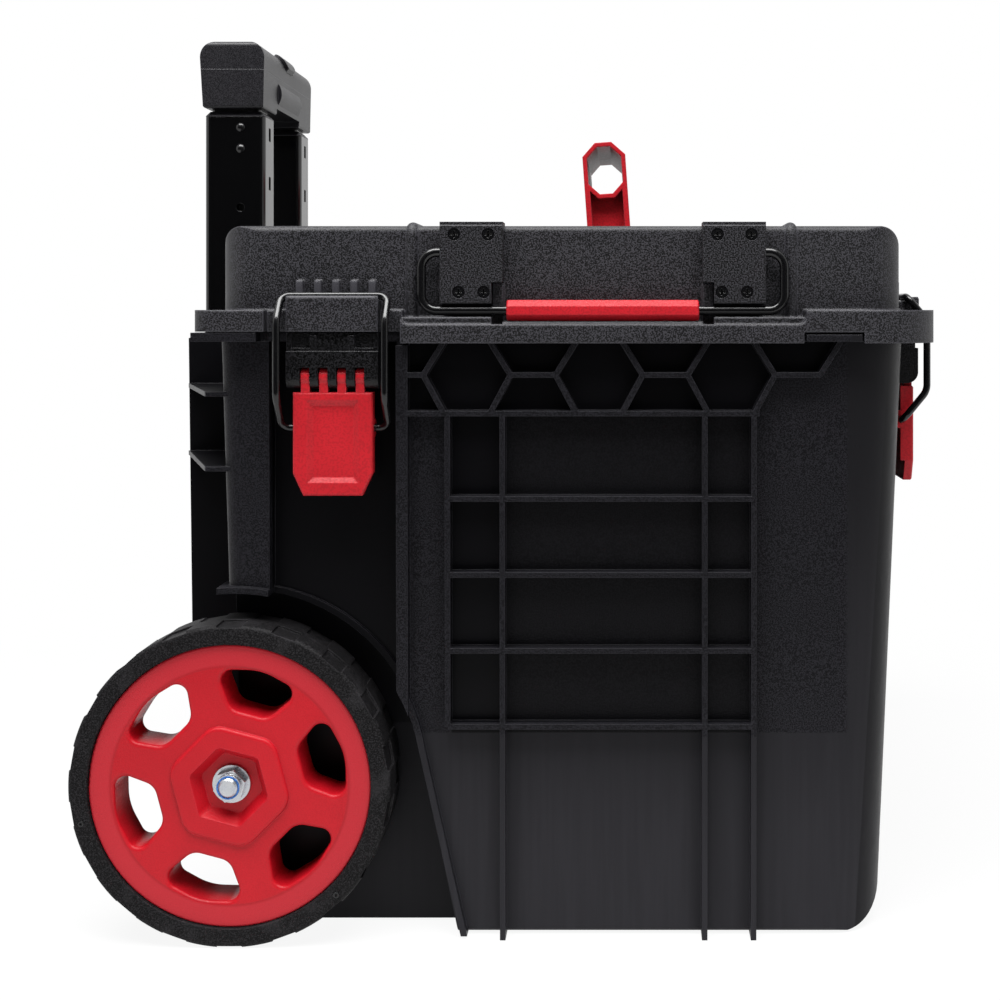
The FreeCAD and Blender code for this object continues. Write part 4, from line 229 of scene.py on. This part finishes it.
class Graph:
    """A node tree in the making, with one way to add any node."""

    def __init__(self, owner):
        owner.use_nodes = True
        self.owner = owner
        self.tree = owner.node_tree
        self.tree.nodes.clear()

    def node(self, kind, settings=None, inputs=None, output=0):
        node = self.tree.nodes.new(kind)
        for key, value in (settings or {}).items():
            setattr(node, key, value)
        for key, value in (inputs or {}).items():
            if isinstance(value, Strand):
                self.tree.links.new(value.socket, node.inputs[key])
            else:
                node.inputs[key].default_value = value
        return Strand(self, node.outputs[output]) if node.outputs else None

    def maths(self, operation, *values):
        return self.node("ShaderNodeMath", {"operation": operation}, dict(enumerate(values)))

    def vector(self, operation, first, second=None, output=0):
        pair = {0: first} if second is None else {0: first, 1: second}
        return self.node("ShaderNodeVectorMath", {"operation": operation}, pair, output)

    def seen(self):
        """1 for what the camera sees, straight, in gloss or through glass, and 0 for all other light."""
        rays = ("Is Camera Ray", "Is Glossy Ray", "Is Transmission Ray")
        camera, glossy, through = [self.node("ShaderNodeLightPath", output=ray) for ray in rays]
        return camera.either(glossy).either(through)


class Finish(Graph):
    """A material in the making."""

    def __init__(self, name):
        super().__init__(bpy.data.materials.new(name))
        self.place = self.node("ShaderNodeTexCoord", output="Object")

    def noise(self, size, detail=2.0, roughness=0.5, place=None):
        """Noise with dots about that wide."""
        inputs = {"Vector": place or self.place, "Scale": 1 / size, "Detail": detail, "Roughness": roughness}
        return self.node("ShaderNodeTexNoise", None, inputs)

    def stretched(self, scale):
        inputs = {"Vector": self.place, "Scale": scale}
        return self.node("ShaderNodeMapping", {"vector_type": "POINT"}, inputs)

    def axis(self, letter):
        return self.node("ShaderNodeSeparateXYZ", None, {"Vector": self.place}, letter)

    def mix(self, amount, first, second):
        """One colour passing into another; sockets 6 and 7 and output 2 are the node's colours."""
        return self.node("ShaderNodeMix", {"data_type": "RGBA"}, {0: amount, 6: first, 7: second}, 2)

    def clouded_grey(self, low, high):
        """Grey that drifts between two tones over a wide surface."""
        return self.mix(self.noise(CLOUD), (low, low, low, 1), (high, high, high, 1))

    def surface(self, inputs):
        shader = self.node("ShaderNodeBsdfPrincipled", None, inputs)
        self.node("ShaderNodeOutputMaterial", None, {"Surface": shader})
        return self.owner


class Coat(Finish):
    """The finish of a piece with rounded edges."""

    def __init__(self, name, edge):
        super().__init__(name)
        self.rounded = self.node("ShaderNodeBevel", {"samples": BEVEL_SAMPLES}, {"Radius": edge}, "Normal")

    def edges(self):
        """1 on the edges that the rounding reaches, 0 on the faces."""
        flat = self.node("ShaderNodeNewGeometry", output="Normal")
        return (1 - self.vector("DOT_PRODUCT", self.rounded, flat, "Value")).rise(*EDGE_TURN)

    def finished(self, base, roughness, grain, depth, specular=0.5, metallic=0.0):
        """The material, with the grain as a bump that high on the rounded normal."""
        inputs = {"Height": grain, "Distance": depth, "Strength": 1.0, "Normal": self.rounded}
        bump = self.node("ShaderNodeBump", None, inputs)
        return self.surface({"Base Color": base, "Roughness": roughness, "Normal": bump,
                             "Specular IOR Level": specular, "Metallic": metallic})


class Plastic(Coat):
    """Plastic in the making, with fine dots and a broad, faint bloom."""

    def __init__(self, name, edge, grain, detail=0.0, patch=BLOOM):
        super().__init__(name, edge)
        self.dots = self.noise(grain, detail)
        self.bloom = self.noise(patch, detail=3.0, roughness=0.6)

    def highlit_edges(self, edges):
        """The edges to be painted paler as highlights, half as strong where the bloom is weak."""
        return edges * (self.bloom.rise(*BLOOM_EDGE) * 0.5 + 0.5)


def rgba(rgb, gain=1.0, tint=(1.0, 1.0, 1.0)):
    """A colour made paler or darker by a gain, and tinted part by part."""
    return (*[min(1.0, part * gain * more) for part, more in zip(rgb, tint)], 1.0)


# ---------------------------------------------------------------- finishes
DOT_EDGE = (0.4, 0.64)           # where the noise passes from hollow to dot on black plastic
BLOOM_GLOSS = 0.12               # how far the bloom swings the roughness of black plastic
DOT_GLOSS = 0.3                  # how far the dots swing it
EDGE_GLOSS = 0.08                # how much less rough a rounded edge is
MARK_BORDER = 0.6 * MM           # how far a mark fades beside its limit


class Moulded(NamedTuple):
    """A plain moulded plastic; gain, grain, depth and edge multiply its colour and the box's sizes."""
    name: str
    colour: str
    gain: float = 1.0
    grain: float = 1.0
    depth: float = 1.0
    edge: float = 1.0
    roughness: float = 0.45
    edge_highlight: float = 3.2            # gain of the paler colour painted on the edges as a highlight
    contrast: float = 0.4        # how far hollows and dots are from the colour, as a share of it
    specular: float = 0.3


# Every plastic below has its rounded edges painted paler as a highlight.
PLATES = Moulded("PlatePlastic", "lid", edge=0.5, roughness=0.48, contrast=0.9)
HARDWARE = Moulded("HardwarePlastic", "moulding", gain=0.55, edge=0.6, roughness=0.38, edge_highlight=5.0, contrast=0.9)
SMOOTH = Moulded("SmoothPlastic", "smooth", grain=0.6, depth=0.3, edge=0.8, roughness=0.4)
GREY = Moulded("GreyPlastic", "grey", depth=0.3, edge=0.4, edge_highlight=1.1)
NYLON = Moulded("NylonRing", "nylon", depth=0.1, edge=0.2, roughness=0.35, edge_highlight=1.2)
PIP = Moulded("PipRubber", "recess", depth=0.2, edge=0.2, roughness=0.25, edge_highlight=12.0, specular=0.5)


def moulded_plastic(style, colours, sizes):
    """Moulded plastic with a fine grain, rounded edges painted paler as highlights, and a faint bloom."""
    f = Plastic(style.name, style.edge * sizes.edge, style.grain * sizes.grain)
    edges = f.edges()
    rgb = rgba(getattr(colours, style.colour), style.gain)[:3]
    plain = f.mix(f.dots.rise(*DOT_EDGE), rgba(rgb, 1 - style.contrast), rgba(rgb, 1 + style.contrast))
    # Painted highlight: the rounded edges are paler.
    shade = f.mix(f.highlit_edges(edges), plain, rgba(rgb, style.edge_highlight))
    rough = style.roughness + f.bloom.swing(BLOOM_GLOSS) + f.dots.swing(DOT_GLOSS) - edges * EDGE_GLOSS
    return f.finished(shade, rough, f.dots, style.depth * sizes.grain_depth, style.specular)


def lid_plastic(colours, sizes):
    """The lid's grained plastic; the ribs behind each bail are smooth and painted pale as a highlight of the
    light from above, and the rounded edges are painted pale as highlights.
    """
    # The rib and edge tones are painted highlights.
    hollow_tone, dot_tone, rib_highlight_tone, edge_highlight_tone = 0.3, 2.2, 3.0, 4.2
    border, rib_smoothness = 0.5 * MM, 0.8
    f = Plastic("LidPlastic", 2.8 * sizes.edge, sizes.grain)
    edges = f.edges()
    along, height = f.axis("X"), f.axis("Z")
    across = abs(f.axis("Y"))
    beside = abs(along + sizes.hook_place).before(sizes.hook_half, border)
    beside = beside * across.past(sizes.hook_side, border)
    ahead = abs(across - sizes.hook_row).before(sizes.hook_half, border)
    ahead = ahead * along.past(sizes.hook_front, border)
    # The hook ribs: smoothed, and painted pale as a highlight.
    ribs = beside.either(ahead) * height.past(sizes.hook_foot, 4 * border)
    plain = f.mix(f.dots.rise(*DOT_EDGE), rgba(colours.lid, hollow_tone), rgba(colours.lid, dot_tone))
    plain = f.mix(ribs, plain, rgba(colours.lid, rib_highlight_tone))
    # Painted highlight: the rounded edges are paler.
    shade = f.mix(f.highlit_edges(edges), plain, rgba(colours.lid, edge_highlight_tone))
    rough = 0.5 + f.bloom.swing(BLOOM_GLOSS) + f.dots.swing(DOT_GLOSS) - edges * EDGE_GLOSS
    return f.finished(shade, rough, f.dots * (1 - ribs * rib_smoothness), sizes.grain_depth, specular=0.3)


class TubMarks(NamedTuple):
    """Masks, each 1 at its places on the tub."""
    smooth: Strand
    # Grainless places; the cell row and the deep recesses among them are painted dark as shade.
    plain: Strand
    # Deep recesses, painted dark as shade.
    deep_shade: Strand
    # Wall between the ribs, painted darker as shade.
    field: Strand


def tub_marks(f, sizes):
    """Where the tub is smooth, has no grain, lies deep in a recess painted dark as shade, or is wall between
    the ribs painted darker as shade; the grainless cell row is painted dark as shade too.
    """
    border = MARK_BORDER
    along, height = f.axis("X"), f.axis("Z")
    across = abs(f.axis("Y"))
    smooth = (1 - height.over(sizes.smooth_top, border)).either(along.over(sizes.smooth_front, 3 * border))
    fields = along.past(sizes.column_back, border)
    column = fields * (1 - along.past(sizes.column_front, border))
    # The cell row under the lid's ledge: grainless and painted dark as shade.
    row_end = sizes.row_front + (height - sizes.row_foot) * sizes.row_slant
    row_end = row_end + height.over(sizes.row_middle, border) * sizes.row_step
    row = f.maths("LESS_THAN", along, row_end) * along.past(sizes.row_back, border)
    row = row * height.past(sizes.row_foot, border)
    on_wall = 1 - across.past(sizes.wall_side, border)
    # Deep recesses, painted dark as shade.
    deep_shade = across.before(sizes.recess_side, border)
    plain = (column.either(row) * on_wall).either(deep_shade)
    # Wall between the ribs, painted darker as shade.
    field = fields * on_wall * along.before(sizes.shaded_field_front, border)
    return TubMarks(smooth, plain, deep_shade, field)


def tub_plastic(colours, sizes):
    """The tub's plastic: grained walls, painted paler downwards as light from the floor and darker between
    the ribs as shade; plain recesses and cell row painted dark as shade; smoother, paler lower and front
    walls, also painted paler downwards as light from the floor; rounded edges painted paler as highlights.
    """
    # Painted light and shade: the lower tone and the satin tones make the walls paler downwards as light from
    # the floor, the third tone and the deep share darken the wall between the ribs and the recesses as shade,
    # and the last tone and share paint the edges' highlight.
    upper_tone, lit_lower_tone, shaded_field_tone, dot_tone = 1.9, 2.2, 0.75, 0.6
    shaded_high_satin, lit_low_satin, edge_highlight_tone = 0.45, 1.15, 2.0
    dot_share, streak_share, deep_shade_share, edge_highlight_share = 0.75, 0.2, 0.6, 0.7
    smoothness = 0.85
    f = Plastic("TubPlastic", sizes.edge, sizes.grain, detail=2.0)
    marks = tub_marks(f, sizes)
    height, top = f.axis("Z"), sizes.smooth_top
    streaks = f.noise(4 * MM, place=f.stretched((1.0, 1.0, 0.04)))
    # Painted light: the grained walls grow paler towards the smooth lower walls, as if lit from the floor.
    low_wall_light = 1 - height.rise(top, 1.7 * top)
    walls = f.mix(low_wall_light, rgba(colours.moulding, upper_tone), rgba(colours.moulding, lit_lower_tone))
    # Painted shade: the wall between the ribs is darker.
    walls = f.mix(marks.field, walls, rgba(colours.moulding, shaded_field_tone))
    walls = f.mix(f.dots.rise(0.42, 0.58) * dot_share, walls, rgba(colours.recess, dot_tone))
    # Painted shade: the grainless cell row and the recesses take the darkest black.
    walls = f.mix(marks.plain, walls, rgba(colours.recess))
    start, middle, end = [part * top for part in (0.3, 1.2, 2.4)]
    # Painted light: the satin walls grow paler downwards, as if lit from the floor.
    low_satin_light = 1 - (height.rise(start, middle) + height.rise(middle, end)) * 0.5
    satin = f.mix(low_satin_light, rgba(colours.satin, shaded_high_satin), rgba(colours.satin, lit_low_satin))
    satin = f.mix(streaks.rise(0.3, 0.7) * streak_share, satin, rgba(colours.moulding))
    # Painted shade: the deep recesses of the satin walls are darker.
    satin = f.mix(marks.deep_shade * deep_shade_share, satin, rgba(colours.recess))
    shade = f.mix(marks.smooth, walls, satin)
    # Painted highlight: the rounded edges are paler.
    shade = f.mix(f.highlit_edges(f.edges()) * edge_highlight_share, shade, rgba(colours.satin, edge_highlight_tone))
    rough = 0.46 + f.bloom.swing(BLOOM_GLOSS) + f.dots.swing(0.2) - marks.plain * 0.08
    grain = f.dots * (1 - marks.smooth.either(marks.plain) * smoothness)
    return f.finished(shade, rough, grain, sizes.grain_depth, specular=0.1)


def red_plastic(name, colours, sizes, grain, dot_share, wheel=None):
    """Bright red plastic with a fine grain and rounded edges painted pale as highlights; round a wheel's
    centre, the rim is duller than the web, with a thin painted shadow along its inner side.
    """
    # The edge tint and share paint a highlight on the edges; the tone and share of the line inside the rim
    # paint a thin shadow there.
    hub_tint, rim_tint, edge_highlight_tint = (0.98, 0.5, 0.7), (0.98, 3.6, 2.3), (1.25, 4.0, 3.2)
    weak_tone, strong_tone, dot_tone, step_shadow_tone = 0.92, 1.04, 0.6, 0.7
    rim_share, step_shadow_share, edge_light_share = 0.75, 0.8, 0.7
    f = Plastic(name, 1.2 * sizes.edge, grain, patch=RED_BLOOM)
    red = rgba(colours.red, tint=hub_tint)[:3] if wheel else colours.red
    shade = f.mix(f.bloom.rise(0.3, 0.7), rgba(red, weak_tone), rgba(red, strong_tone))
    shade = f.mix(f.dots.rise(0.45, 0.65) * dot_share, shade, rgba(red, dot_tone))
    if wheel:
        away = f.vector("MULTIPLY", f.vector("SUBTRACT", f.place, wheel), (1.0, 0.0, 1.0))
        radius = f.vector("LENGTH", away, output="Value")
        rim = radius.over(sizes.rim_band, MARK_BORDER)
        shade = f.mix(rim * rim_share, shade, rgba(red, tint=rim_tint))
        # Painted shadow: a thin dark line along the rim's inner side, where it steps from the web.
        step_shadow = rim * (1 - radius.past(sizes.rim_band, sizes.rim_step_shadow))
        shade = f.mix(step_shadow * step_shadow_share, shade, rgba(red, step_shadow_tone))
    # Painted highlight: the rounded edges are paler.
    shade = f.mix(f.edges() * edge_light_share, shade, rgba(red, tint=edge_highlight_tint))
    rough = 0.4 + f.dots.swing(0.2) + f.bloom.swing(0.1)
    return f.finished(shade, rough, f.dots, 0.6 * sizes.grain_depth, specular=0.2)


def coated_metal(name, rgb, roughness):
    """Black coat on steel, with the slight waviness of a sprayed film and a few pale specks."""
    speck_tone, speck_share = 8.0, 0.35
    f = Coat(name, 0.5 * MM)
    waves = f.noise(6 * MM)
    specks = f.noise(0.7 * MM, roughness=0.6).rise(0.72, 0.8)
    shade = f.mix(specks * speck_share, rgba(rgb), rgba(rgb, speck_tone))
    rough = roughness + waves.swing(0.08) + specks * 0.2
    return f.finished(shade, rough, waves, 0.02 * MM)


def zinc_plating(colours):
    """Bright plating, brushed in the axle's direction and clouded with a bluer tone."""
    blue_zinc = (0.55, 0.57, 0.62, 1.0)
    f = Coat("ZincPlating", 0.4 * MM)
    brushed = f.noise(1.2 * MM, detail=3.0, roughness=0.6, place=f.stretched((1.0, 0.15, 1.0)))
    shade = f.mix(f.noise(6 * MM).rise(0.35, 0.7), rgba(colours.zinc), blue_zinc)
    return f.finished(shade, 0.2 + brushed * 0.18, brushed, 0.02 * MM, metallic=1.0)


def rubber(colours, sizes):
    """Matt rubber with a coarse grain, patches of dust, and rounded edges painted paler as highlights in
    patches.
    """
    hollow_tone, dot_tone, dust_tone, edge_highlight_tone = 0.4, 2.4, 3.4, 4.5
    dust_share, edge_highlight_share = 0.5, 0.8
    f = Coat("TyreRubber", 1.2 * sizes.edge)
    dots = f.noise(1.1 * sizes.grain, detail=3.0, roughness=0.65)
    dust = f.noise(18 * MM, detail=4.0, roughness=0.65)
    shade = f.mix(dots.rise(0.46, 0.62), rgba(colours.rubber, hollow_tone), rgba(colours.rubber, dot_tone))
    shade = f.mix(dust.rise(0.5, 0.75) * dust_share, shade, rgba(colours.rubber, dust_tone))
    # Painted highlight: the rounded edges are paler, in patches that follow the dust noise.
    highlit_edges = f.edges() * dust.rise(0.35, 0.6)
    shade = f.mix(highlit_edges * edge_highlight_share, shade, rgba(colours.rubber, edge_highlight_tone))
    return f.finished(shade, 0.58 + dots.swing(0.25), dots, 0.25 * MM, specular=0.12)


# ---------------------------------------------------------------- operators
def paint(node, material):
    slots = NODES[node].data.materials
    slots.clear()
    slots.append(material)


def paint_each(stems, names, material):
    """Paint every node whose name is one of the stems and one of the names."""
    for stem in stems:
        for name in names:
            paint(stem + name, material)


def wheel_axis(name):
    """Centre of a wheel and the distance of its outer side from the middle."""
    low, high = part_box("tyre_" + name)
    return (low + high) / 2, max(abs(low.y), abs(high.y))


class DressMouldings(bpy.types.Operator):
    """Give the black mouldings and the grey bushings their plastic"""
    bl_idname = "storagebox.dress_mouldings"
    bl_label = "Mouldings"

    def execute(self, context):
        colours, sizes = context.scene.box_colours, context.scene.box_sizes
        plates = moulded_plastic(PLATES, colours, sizes)
        hardware = moulded_plastic(HARDWARE, colours, sizes)
        smooth = moulded_plastic(SMOOTH, colours, sizes)
        grey = moulded_plastic(GREY, colours, sizes)
        paint("box_body", tub_plastic(colours, sizes))
        paint("lid", lid_plastic(colours, sizes))
        paint_each(["bail_plates_"], SIDE_NAMES, plates)
        paint_each(["latch_base_"], LATCHES, hardware)
        paint_each(["tube_collar_", "tube_plug_"], SIDE_NAMES, smooth)
        paint_each(["hub_bushing_"], SIDE_NAMES, grey)
        for node in ("grip_lower", "grip_upper", "release_button"):
            paint(node, smooth)
        paint("axle_spacers", grey)
        return {"FINISHED"}


class DressRedPieces(bpy.types.Operator):
    """Give the levers, hubs and grips their red plastic"""
    bl_idname = "storagebox.dress_red_pieces"
    bl_label = "Red pieces"

    def execute(self, context):
        colours, sizes = context.scene.box_colours, context.scene.box_sizes
        centre, _ = wheel_axis("left")
        red = red_plastic("RedPlastic", colours, sizes, sizes.red_grain, dot_share=0.5)
        hub = red_plastic("HubPlastic", colours, sizes, sizes.grain, dot_share=0.2, wheel=centre)
        paint_each(["latch_lever_"], LATCHES, red)
        paint_each(["side_handle_grip_"], SIDE_NAMES, red)
        paint("top_handle", red)
        paint_each(["hub_"], SIDE_NAMES, hub)
        return {"FINISHED"}


class DressMetal(bpy.types.Operator):
    """Give tubes, wires, screws and the axle their coats and plating"""
    bl_idname = "storagebox.dress_metal"
    bl_label = "Metal pieces"

    def execute(self, context):
        colours = context.scene.box_colours
        tube = coated_metal("TubeCoat", colours.tube, roughness=0.14)
        wire = coated_metal("WireCoat", colours.wire, roughness=0.2)
        screw = coated_metal("ScrewCoat", colours.wire, roughness=0.22)
        zinc = zinc_plating(colours)
        paint_each(["outer_tube_", "inner_tube_"], SIDE_NAMES, tube)
        paint_each(["side_handle_wire_"], SIDE_NAMES, wire)
        paint_each(["latch_bail_"], LATCHES, wire)
        for node in ("plate_screws", "collar_rivets", "tube_screws", "latch_screws"):
            paint(node, screw)
        for node in ("axle", "axle_washers", "axle_nuts", "latch_pins", "top_handle_pins", "lock_rods",
                     "button_spring"):
            paint(node, zinc)
        return {"FINISHED"}


class DressRubber(bpy.types.Operator):
    """Give the tyres and the lid's seal their rubber"""
    bl_idname = "storagebox.dress_rubber"
    bl_label = "Rubber pieces"

    def execute(self, context):
        material = rubber(context.scene.box_colours, context.scene.box_sizes)
        paint_each(["tyre_"], SIDE_NAMES, material)
        paint("lid_gasket", material)
        return {"FINISHED"}


# ---------------------------------------------------------------- small pieces
RING_SIDES = 48
RING_ROUNDING = 0.3              # as a share of the ring's height
PIP_HOLE = 0.45                  # as a share of the pip's radius
SMOOTH_ANGLE = math.radians(40)


def ring(name, seat, side, hole, radius, height):
    """Round ring on a face towards one side, its free edges rounded."""
    bpy.ops.object.select_all(action="DESELECT")
    bpy.ops.mesh.primitive_circle_add(vertices=RING_SIDES, radius=radius, fill_type="NGON", location=seat,
                                      rotation=(side * -QUARTER_TURN, 0, 0))
    piece = bpy.context.object
    piece.name = name
    bpy.ops.object.mode_set(mode="EDIT")
    bpy.ops.mesh.select_all(action="SELECT")
    bpy.ops.mesh.inset(thickness=radius - hole)
    bpy.ops.mesh.delete(type="FACE")
    bpy.ops.mesh.select_all(action="SELECT")
    bpy.ops.mesh.extrude_region_move(TRANSFORM_OT_translate={"value": (0, side * height, 0)})
    bpy.ops.mesh.select_all(action="SELECT")
    bpy.ops.mesh.normals_make_consistent(inside=False)
    bpy.ops.object.mode_set(mode="OBJECT")
    bpy.ops.object.transform_apply(location=True, rotation=True, scale=True)
    bevel = piece.modifiers.new("Rounding", "BEVEL")
    bevel.width, bevel.segments = RING_ROUNDING * height, 2
    bpy.ops.object.modifier_apply(modifier=bevel.name)
    bpy.ops.object.shade_smooth_by_angle(angle=SMOOTH_ANGLE)
    return piece


class AddNylonRings(bpy.types.Operator):
    """Put the nylon locking ring in the face of each axle nut"""
    bl_idname = "storagebox.add_nylon_rings"
    bl_label = "Nylon rings"

    def execute(self, context):
        sizes = context.scene.box_sizes
        material = moulded_plastic(NYLON, context.scene.box_colours, sizes)
        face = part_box("axle_nuts")[1].y
        for name, side in SIDES:
            centre, _ = wheel_axis(name)
            piece = ring("nylon_ring_" + name, (centre.x, side * face, centre.z), side, sizes.nylon_hole,
                         sizes.nylon_radius, sizes.nylon_height)
            piece.data.materials.append(material)
            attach(piece, "root")
        return {"FINISHED"}


class AddTyrePips(bpy.types.Operator):
    """Put the small moulding pips on the side of each tyre"""
    bl_idname = "storagebox.add_tyre_pips"
    bl_label = "Tyre pips"

    def execute(self, context):
        sizes = context.scene.box_sizes
        material = moulded_plastic(PIP, context.scene.box_colours, sizes)
        radius, height = sizes.pip_radius, sizes.pip_height
        for name, side in SIDES:
            centre, outer = wheel_axis(name)
            for number, turn in enumerate(sizes.pip_turns):
                seat = (centre.x + sizes.pip_place * math.cos(turn), side * outer,
                        centre.z + sizes.pip_place * math.sin(turn))
                piece = ring(f"tyre_pip_{name}_{number}", seat, side, PIP_HOLE * radius, radius, height)
                piece.data.materials.append(material)
                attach(piece, "wheel_" + name)
        return {"FINISHED"}


# ---------------------------------------------------------------- stage
class Lamp(NamedTuple):
    """A soft rectangular lamp: where it hangs, what it points at, its two sides in metres and its watts."""
    name: str
    spot: tuple
    aim: tuple
    sides: tuple
    power: float


LAMPS = (Lamp("TopSoftbox", spot=(-0.1, -0.8, 2.0), aim=(0, -0.2, 0.1), sides=(2.0, 1.2), power=95),
         Lamp("FrontRight", spot=(1.5, -1.7, 0.9), aim=(0, 0, 0.25), sides=(0.8, 1.4), power=6),
         Lamp("FrontLeft", spot=(-1.7, -1.3, 1.0), aim=(0, 0, 0.3), sides=(0.8, 1.4), power=4))
SENSOR = 36.0                    # the sensor's width in millimetres
CLIP_START, CLIP_END = 0.05, 50
CARD_UNSEEN_BY = ("camera", "diffuse", "transmission", "volume_scatter", "shadow")


def hang_lamp(lamp):
    """Soft rectangular light at the lamp's spot, turned to what it points at."""
    light = bpy.data.lights.new(lamp.name, "AREA")
    light.shape = "RECTANGLE"
    light.size, light.size_y = lamp.sides
    light.energy = lamp.power
    holder = bpy.data.objects.new(lamp.name, light)
    bpy.context.scene.collection.objects.link(holder)
    holder.location = lamp.spot
    holder.rotation_euler = (Vector(lamp.aim) - Vector(lamp.spot)).to_track_quat("-Z", "Y").to_euler()


def white_floor(stage):
    """White to the camera and in gloss, apart from the box's shadow, and pale to all other light."""
    fade_start = 0.5 * stage.shadow
    f = Finish("PaleFloor")
    away = f.vector("LENGTH", f.place, output="Value").rise(fade_start, stage.shadow)
    matt = f.node("ShaderNodeBsdfDiffuse", None, {"Color": f.clouded_grey(0.86, 0.9)})
    glow = f.node("ShaderNodeEmission", None, {"Color": WHITE, "Strength": 1.0})
    white = away * (1 - stage.floor_white) + stage.floor_white
    both = {0: f.seen() * white, 1: matt, 2: glow}
    f.node("ShaderNodeOutputMaterial", None, {"Surface": f.node("ShaderNodeMixShader", None, both)})
    return f.owner


def white_sky(strength):
    """White backdrop, and a weaker fill to all light that isn't the camera's."""
    sky = Graph(bpy.data.worlds.new("Studio"))
    fill = sky.node("ShaderNodeBackground", None, {"Color": WHITE, "Strength": strength})
    backdrop = sky.node("ShaderNodeBackground", None, {"Color": WHITE, "Strength": 1.0})
    both = {0: sky.seen(), 1: fill, 2: backdrop}
    sky.node("ShaderNodeOutputWorld", None, {"Surface": sky.node("ShaderNodeMixShader", None, both)})
    return sky.owner


def stage_sheet(name, size, location, rotation, material):
    """Flat square sheet that belongs to the stage."""
    bpy.ops.object.select_all(action="DESELECT")
    bpy.ops.mesh.primitive_grid_add(x_subdivisions=2, y_subdivisions=2, size=size, location=location,
                                    rotation=rotation)
    sheet = bpy.context.object
    sheet.name = name
    sheet.data.materials.append(material)
    return sheet


def dark_card(stage):
    """Upright dark card before the box, seen in gloss alone, so that the near side mirrors no white room."""
    f = Finish("DarkCard")
    material = f.surface({"Base Color": f.clouded_grey(0.004, 0.008), "Roughness": 0.9})
    card = stage_sheet("dark_card", stage.card, (0, -stage.card_place, 0), (QUARTER_TURN, 0, 0), material)
    for ray in CARD_UNSEEN_BY:
        setattr(card, "visible_" + ray, False)


def place_camera(stage):
    """Level camera at the eye, shifted so that lines along Y meet at the vanishing point."""
    data = bpy.data.cameras.new("Camera")
    data.sensor_width = SENSOR
    data.lens = stage.focal
    data.clip_start, data.clip_end = CLIP_START, CLIP_END
    camera = bpy.data.objects.new("Camera", data)
    bpy.context.scene.collection.objects.link(camera)
    camera.location = stage.eye
    camera.rotation_euler = (QUARTER_TURN, 0, 0)
    data.shift_x = 0.5 - stage.horizon[0]
    data.shift_y = 0.5 - stage.horizon[1]
    bpy.context.scene.camera = camera


class BuildStage(bpy.types.Operator):
    """Lay the floor, stand the card, hang the lamps and place the camera"""
    bl_idname = "storagebox.build_stage"
    bl_label = "Stage"

    def execute(self, context):
        stage = context.scene.box_stage
        stage_sheet("floor", stage.floor, (0, 0, 0), (0, 0, 0), white_floor(stage))
        dark_card(stage)
        context.scene.world = white_sky(stage.fill)
        for lamp in LAMPS:
            hang_lamp(lamp)
        place_camera(stage)
        context.scene.view_settings.view_transform = "Standard"
        return {"FINISHED"}


class StorageBoxPanel(bpy.types.Panel):
    """Lists the colours and sizes, and the steps that finish the box"""
    bl_idname = "VIEW3D_PT_storage_box"
    bl_label = "Storage Box"
    bl_space_type = "VIEW_3D"
    bl_region_type = "UI"
    bl_category = "Storage Box"

    def draw(self, context):
        for group in (context.scene.box_colours, context.scene.box_sizes, context.scene.box_stage):
            for name in group.__annotations__:
                self.layout.prop(group, name)
        for step in STEPS:
            self.layout.operator(step.bl_idname)


STEPS = (DressMouldings, DressRedPieces, DressMetal, DressRubber, AddNylonRings, AddTyrePips, BuildStage)
CLASSES = (BoxColours, BoxSizes, StageSettings, *STEPS, StorageBoxPanel)


def register():
    for one in CLASSES:
        bpy.utils.register_class(one)
    bpy.types.Scene.box_colours = bpy.props.PointerProperty(type=BoxColours)
    bpy.types.Scene.box_sizes = bpy.props.PointerProperty(type=BoxSizes)
    bpy.types.Scene.box_stage = bpy.props.PointerProperty(type=StageSettings)


def unregister():
    del bpy.types.Scene.box_stage
    del bpy.types.Scene.box_sizes
    del bpy.types.Scene.box_colours
    for one in reversed(CLASSES):
        bpy.utils.unregister_class(one)


def main():
    register()
    for step in STEPS:
        group, name = step.bl_idname.split(".")
        getattr(getattr(bpy.ops, group), name)()


if __name__ == "__main__":
    main()
